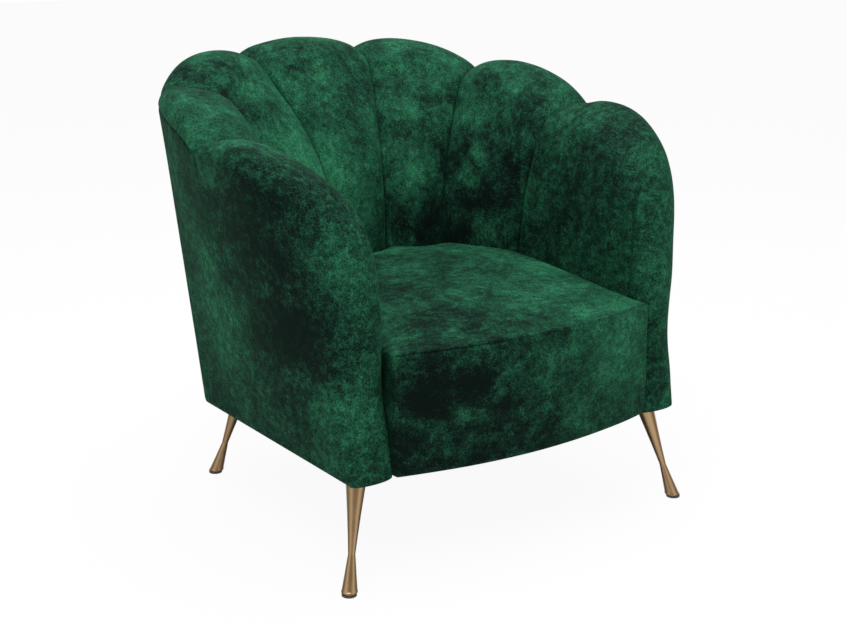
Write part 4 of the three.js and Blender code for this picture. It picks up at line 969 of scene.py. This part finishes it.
def build_back():
    parts = []
    for petal, order in ((PETALS[1], -1), (PETALS[0], 1), (PETALS[1], 1)):
        share = eased(BACK_COLUMNS, 0.3)[::order]
        at = Station(petal, share)
        if order < 0:
            for plan in (at.crest, at.crest_out, at.base, at.base_out):
                plan[..., 0] *= -1
        top = panel_top(at, np.minimum(share, 1 - share) * width_of(petal))
        rows = np.linspace(0, 1, BACK_ROWS)
        sheet = np.array([outside_point(at, lerp(UNDERSIDE, top, row), 0) for row in rows])
        parts.append(sheet[:, 1:] if parts else sheet)
    sheet = smoothed(np.concatenate(parts, 1), 6, axis=1, fixed=3)
    below, above, ahead, behind = edge_runs(sheet)
    high = lumps(sheet, 160, 5) - panel_tuck(below, above, np.minimum(ahead, behind), 1)
    sheet = sheet + outward_normals(sheet, 30, 45, REARWARD) * high[..., None]
    wrap_piece("back_wrap", (sheet,), ("back_outer_cover",))


build_back()


# Seat

SEAT_COLUMNS, SEAT_ROWS = 71, 57
# Shares of the seat's depth for its first rows, and of the apron's height for its last ones
FIRST_ROWS = (0, 0.0025, 0.006, 0.011)
APRON_ROWS, APRON_LAST_ROWS = 29, (0.955, 0.972, 0.984, 0.993, 1)
APRON_TOP = SEAT_EDGE - 4.5
APRON_BELLY = 4
# Where the seat's rear corners lie along its outline
REAR_CORNERS = 0.335
# How much of the petals' bulge the seat follows, and the gap to them
SEAT_FOLLOWS, SEAT_CLEAR = 0.9, 0.6
CROWN_SQUARE = 2.6
# The front crease: its radius, and its depth at the left and at the right
CREASE_RADIUS, CREASE_DEPTHS = 7, (7, 1.5)
# Where the arms round off, the padding fills out towards them
FILL_OUT, FILL_EDGE = 5, 12
HIDDEN_SHARES = (0.2, 0.6, 1)
CUSHION_SIDE, APRON_RETURN = 34, 60
SEAT_LINING = 12
SEAT_LUMPS = ((120, 1.6, 0), (45, 0.5, 1))


def bow(x):
    """Depth of the seat's bowed front."""
    return SEAT_FRONT - SEAT_BOW * (1 - (x / SEAT_PLAN[0]) ** 2)


def seat_outline():
    """The seat's plan from the right front corner back round to the left one, clear of the petals."""
    points = [(SEAT_HALF, y) for y in np.linspace(SEAT_FRONT, BEND, 14)]
    whole = np.linspace(1, 0, 15, endpoint=False)
    for petal, shares in ((PETALS[2], whole), (PETALS[1], whole), (PETALS[0], np.linspace(1, 0.5, 16))):
        at = Station(petal, shares)
        place = face_point(at, SEAT_LEVEL, -at.bulge * SEAT_FOLLOWS - SEAT_CLEAR)
        points += [(min(x, SEAT_HALF), y) for x, y, _ in place]
    right = np.array(points)
    return np.concatenate([right, right[-2::-1] * np.array([-1, 1])])


def filled_out(x):
    """How far the padding reaches past its side, by the distance from the middle."""
    return FILL_OUT * np.sign(x) * (np.abs(x) / SEAT_HALF) ** FILL_EDGE


def seat_top(across, front, crease):
    """The cushion's top in rows from the front, and the distances from its nearer side."""
    outline = seat_outline()
    whole = run_along(outline)[-1]
    deep = np.concatenate([FIRST_ROWS, eased(SEAT_ROWS - 3, 0.3)[1:]])
    right = points_along(outline, deep * REAR_CORNERS * whole)
    rear = points_along(outline, lerp(1 - REAR_CORNERS, REAR_CORNERS, across) * whole)
    left = right * np.array([-1, 1])
    i, j = deep[:, None, None], across[None, :, None]
    plan = lerp(left[:, None], right[:, None], j) + lerp(front[None], rear[None], i)
    plan -= lerp(lerp(front[0], front[-1], j), lerp(rear[0], rear[-1], j), i)
    a, b = np.abs(2 * across - 1)[None], np.abs(2 * deep - 1)[:, None]
    crown = SEAT_CROWN * (1 - a**CROWN_SQUARE) * (1 - b**CROWN_SQUARE)
    rise = SEAT_RISE * np.clip(plan[..., 1] / (BEND + SEAT_PLAN[1]), 0, 1)
    top = upright(plan, SEAT_EDGE + crown + rise)
    ahead, behind, left_run, right_run = edge_runs(top)
    sides = np.minimum(left_run, right_run)
    top[..., 2] -= tuck(sides, 20, lerp(6, 10, smoothstep(ahead, 0, 90))) + tuck(behind, 22, 7)
    top[..., 2] -= tuck(ahead, CREASE_RADIUS, 0.5) * crease
    top[..., 1] += tuck(ahead, CREASE_RADIUS, 0.7) * crease
    top[..., 0] += filled_out(plan[..., 0]) * (1 - smoothstep(plan[..., 1], -3, 38))
    return top, sides


def seat_apron(front, crease, sides):
    """The apron in rows from the underside up to the front crease, bellied and rounded at its sides."""
    drop = np.concatenate([np.linspace(0, 0.93, APRON_ROWS), APRON_LAST_ROWS])
    height = lerp(UNDERSIDE, APRON_TOP, drop)[:, None]
    apron = upright(np.repeat(front[None], len(drop), 0), height)
    apron[..., 0] += filled_out(front[:, 0]) * smoothstep(height, 120, 260)
    apron[..., 1] += tuck(height - UNDERSIDE, 5, 2) - APRON_BELLY * np.sin(math.pi * drop)[:, None]
    apron[..., 1] += tuck(APRON_TOP - height, CREASE_RADIUS, 0.7) * crease + tuck(sides, 7, 3)
    return apron


def above_apron(rows):
    """Goes from 0 on the apron's rows to 1 on the cushion's."""
    apron_rows = APRON_ROWS + len(APRON_LAST_ROWS)
    return smoothstep(np.arange(rows), apron_rows - 2, apron_rows + 3)[:, None]


def with_hidden_sides(sheet):
    """The cover with its hidden sides: the apron's turn back, and the cushion's go down."""
    turn = above_apron(len(sheet))
    way = unit(lerp(np.array([[0, 1.0, 0]]), np.array([[0, 0.15, -1.0]]), turn))
    reach = way * lerp(APRON_RETURN, CUSHION_SIDE, turn)
    hidden = []
    for side, column in ((-1, 0), (1, -1)):
        inwards = np.array([[-side, 0, 0]]) * lerp(8.0, 4.0, turn)
        strip = [sheet[:, column] + reach * share + inwards * min(2 * share, 1) for share in HIDDEN_SHARES]
        hidden.append(np.array(strip).transpose(1, 0, 2))
    sheet = np.concatenate([hidden[0][:, ::-1], sheet, hidden[1]], 1)
    down = np.array([0, 0, float(CUSHION_SIDE)])
    rear = np.array([sheet[-1] - down * share for share in (1 / 3, 2 / 3, 1)])
    return np.concatenate([sheet, rear])


def build_seat():
    across = eased(SEAT_COLUMNS, 0.5)
    x = lerp(-SEAT_HALF, SEAT_HALF, across)
    front = np.stack([x, bow(x)], -1)
    crease = lerp(*CREASE_DEPTHS, smoothstep(across, 0.15, 0.6))[None]
    top, sides = seat_top(across, front, crease)
    sheet = with_hidden_sides(np.concatenate([seat_apron(front, crease, sides[0]), top]))
    calm = smoothstep(np.minimum(*edge_runs(sheet)[2:]), 20, 60)
    high = unevenness(sheet, SEAT_LUMPS, 21) * calm
    sheet = sheet + outward_normals(sheet, 60, 38, UP) * high[..., None]
    lining = sheet * np.array([0.95, 1, 1])
    turn = above_apron(len(sheet))
    lining[..., 1] += SEAT_LINING * lerp(1, -smoothstep(sheet[..., 1], 200, 400), turn)
    lining[..., 2] -= SEAT_LINING * turn
    pad_piece("seat_cushion", sheet, lining, velvet_seat, ("seat_cover", "seat_foam", "seat_front_pad"))


build_seat()


# Cloths

DECK_HEIGHT, DECK_SAG, SPRING_PITCH = 306.2, 0.8, 85
DECK_SIDE, DECK_ENDS = 7, 8
DUST_HEIGHT, DUST_EDGE = 180.6, 4.5
# Across the dust cloth: the narrow steps beside the seat's sides, where the arms' fronts begin
DUST_INNER, DUST_OUTER = (261, 263), 342.5
ARM_FRONT_DEPTH = 22
CLOTH_ROWS = 41


def cloth_sheet(name, sheet, thickness, node_name):
    """A thin cloth stretched over the frame, from a sheet of points."""
    mesh = bmesh.new()
    grid_mesh(mesh, in_frame(sheet))
    piece = thickened(finish_piece(name, mesh, black_cloth), thickness, 0)
    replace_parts(piece, node_name)


def between(half, front, back):
    """Plan points in rows between a front and a back line."""
    deep = np.linspace(0, 1, CLOTH_ROWS)[:, None]
    return np.stack([np.broadcast_to(half, (CLOTH_ROWS, len(half))), lerp(front, back, deep)], -1)


def build_deck_cloth():
    """The deck over the springs, a little loose between them."""
    outline = seat_outline()
    half = np.linspace(-1, 1, 57) * (SEAT_HALF - DECK_SIDE)
    right = outline[: len(outline) // 2 + 1]
    back = np.interp(np.abs(half), right[::-1, 0], right[::-1, 1]) - DECK_ENDS
    plan = between(half, bow(half) + DECK_ENDS, back)
    loose = np.sin(math.pi * np.linspace(0, 1, CLOTH_ROWS))[:, None]
    sag = DECK_SAG * loose * (1 - np.cos(half * 2 * math.pi / SPRING_PITCH)) / 2
    deck = upright(plan, DECK_HEIGHT - sag)
    cloth_sheet("deck_cloth", deck, 0.0009, "seat_deck_cloth")


def build_dust_cover():
    """The dust cloth, stapled flat under the base."""
    inner, outer = DUST_INNER
    beside = np.linspace(outer, DUST_OUTER, 8)
    half = np.concatenate([-beside[::-1], np.linspace(-inner, inner, 45), beside])
    front = np.where(np.abs(half) < (inner + outer) / 2, bow(half) + DUST_EDGE, ARM_FRONT_DEPTH)
    back = REAR_CORNER + REAR_BOW - REAR_RADIUS + np.sqrt(REAR_RADIUS**2 - half**2) - DUST_EDGE
    plan = between(half, front, back)
    dust = upright(plan, DUST_HEIGHT + 0.15 * lumps(upright(plan, 0), 90, 31))
    cloth_sheet("dust_cover", dust, 0.0006, "dust_cloth")


build_deck_cloth()
build_dust_cover()


# Legs

LEG_LEAN = 44
LEG_STEPS = 40
# Radius and height of the leg from its foot over the waist to its top
LEG_PROFILE = (
    (0.0, 4.3), (12.2, 4.3), (13.3, 5.0), (13.3, 7.4), (12.7, 8.0), (12.4, 11.0), (9.6, 32), (6.8, 55),
    (6.0, 61), (5.9, 62.5), (6.1, 64), (8.2, 90), (11.4, 124), (14.4, 152), (16.6, 172), (16.9, 175.4),
    (16.2, 176.2), (0.0, 176.2),
)


def build_leg(name):
    """A turned leg of two slender cones that meet at a sharp waist, leaning out to its foot."""
    low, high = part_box(name.replace("leg", "foot_glide"))
    foot = Vector(((low.x + high.x) / 2, (low.y + high.y) / 2, 0))
    lean = Vector((-math.copysign(LEG_LEAN, foot.x), math.copysign(LEG_LEAN, -foot.y), UNDERSIDE)) * MM
    mesh = bmesh.new()
    verts = [mesh.verts.new((radius * MM, 0, height * MM)) for radius, height in LEG_PROFILE]
    edges = [mesh.edges.new(pair) for pair in zip(verts[:-1], verts[1:])]
    bmesh.ops.spin(
        mesh, geom=verts + edges, cent=(0, 0, 0), axis=(0, 0, 1), angle=2 * math.pi, steps=LEG_STEPS,
        use_merge=True,
    )
    bmesh.ops.remove_doubles(mesh, verts=mesh.verts[:], dist=1e-5)
    shear = Matrix.Identity(4)
    shear[0][2], shear[0][3] = lean.x / lean.z, foot.x
    shear[1][2], shear[1][3] = lean.y / lean.z, foot.y
    bmesh.ops.transform(mesh, matrix=shear, verts=mesh.verts[:])
    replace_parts(finish_piece(f"{name}_turned", mesh, gold), name)


for end in ("front", "rear"):
    for side in ("right", "left"):
        build_leg(f"{side}_{end}_leg")


# Camera, light and floor, in metres

FOCAL_PIXELS, PHOTO_WIDTH_PIXELS, SENSOR_WIDTH = 1500, 847, 36
CAMERA_PLACE = (-1.50443, -1.85932, 1.09432)
CAMERA_PITCH, CAMERA_TURN = math.radians(16.14), math.radians(-34.84)
LIT_PLACE = (0, 0, 0.4)
FLOOR_SIZE = 12


def place_camera():
    """The camera that took the photograph, with its place measured from the line through the front feet."""
    data = bpy.data.cameras.new("camera")
    data.sensor_width = SENSOR_WIDTH
    data.lens = FOCAL_PIXELS * SENSOR_WIDTH / PHOTO_WIDTH_PIXELS
    data.clip_end = 50
    camera = bpy.data.objects.new("camera", data)
    scene.collection.objects.link(camera)
    camera.location = Vector(CAMERA_PLACE) + Vector((0, FEET_LINE, 0))
    level = math.cos(CAMERA_PITCH)
    view = Vector((-math.sin(CAMERA_TURN) * level, math.cos(CAMERA_TURN) * level, -math.sin(CAMERA_PITCH)))
    camera.rotation_mode = "QUATERNION"
    camera.rotation_quaternion = view.to_track_quat("-Z", "Y")
    scene.camera = camera


def light_world():
    """A white surround for the camera, and a soft even light for everything else."""
    world = bpy.data.worlds.new("studio")
    scene.world = world
    world.use_nodes = True
    tree = world.node_tree
    tree.nodes.clear()
    path = node(tree, "LightPath")
    seen = maths(tree, "MAXIMUM", path.outputs["Is Camera Ray"], path.outputs["Is Glossy Ray"])
    seen = maths(tree, "MAXIMUM", seen, path.outputs["Is Transmission Ray"])
    soft = node(tree, "Background", {"Color": (1, 1, 1, 1), "Strength": 0.42}).outputs["Background"]
    white = node(tree, "Background", {"Color": (1, 1, 1, 1), "Strength": 1.0}).outputs["Background"]
    mixed = node(tree, "MixShader", {0: seen, 1: soft, 2: white}).outputs["Shader"]
    tree.links.new(mixed, tree.nodes.new("ShaderNodeOutputWorld").inputs["Surface"])


def softbox(name, place, size, power):
    data = bpy.data.lights.new(name, "AREA")
    data.shape = "RECTANGLE"
    data.size, data.size_y = size
    data.energy = power
    lamp = bpy.data.objects.new(name, data)
    scene.collection.objects.link(lamp)
    lamp.location = place
    lamp.rotation_mode = "QUATERNION"
    lamp.rotation_quaternion = (Vector(LIT_PLACE) - Vector(place)).to_track_quat("-Z", "Y")


def lay_floor():
    """A white floor that the camera sees nearly as bright as the surround, with a faint shadow on it."""
    mesh = bmesh.new()
    bmesh.ops.create_grid(mesh, x_segments=1, y_segments=1, size=FLOOR_SIZE)
    data = bpy.data.meshes.new("floor")
    mesh.to_mesh(data)
    mesh.free()
    floor = bpy.data.objects.new("floor", data)
    scene.collection.objects.link(floor)
    material, tree, shader = new_material("floor_white")
    shader.inputs["Base Color"].default_value = (0.9, 0.9, 0.9, 1)
    shader.inputs["Roughness"].default_value = 1
    shader.inputs["Specular IOR Level"].default_value = 0
    seen = maths(tree, "MULTIPLY", node(tree, "LightPath").outputs["Is Camera Ray"], 0.94)
    glow = node(tree, "Emission", {"Color": (1, 1, 1, 1), "Strength": 1.0}).outputs["Emission"]
    mixed = node(tree, "MixShader", {0: seen, 1: shader.outputs["BSDF"], 2: glow}).outputs["Shader"]
    tree.links.new(mixed, tree.nodes["Material Output"].inputs["Surface"])
    data.materials.append(material)


place_camera()
scene.view_settings.view_transform = "Standard"
light_world()
softbox("key", (-1.6, -1.6, 3.0), (1.8, 1.8), 62)
softbox("top", (0.3, 0.2, 3.0), (2.2, 2.2), 60)
lay_floor()
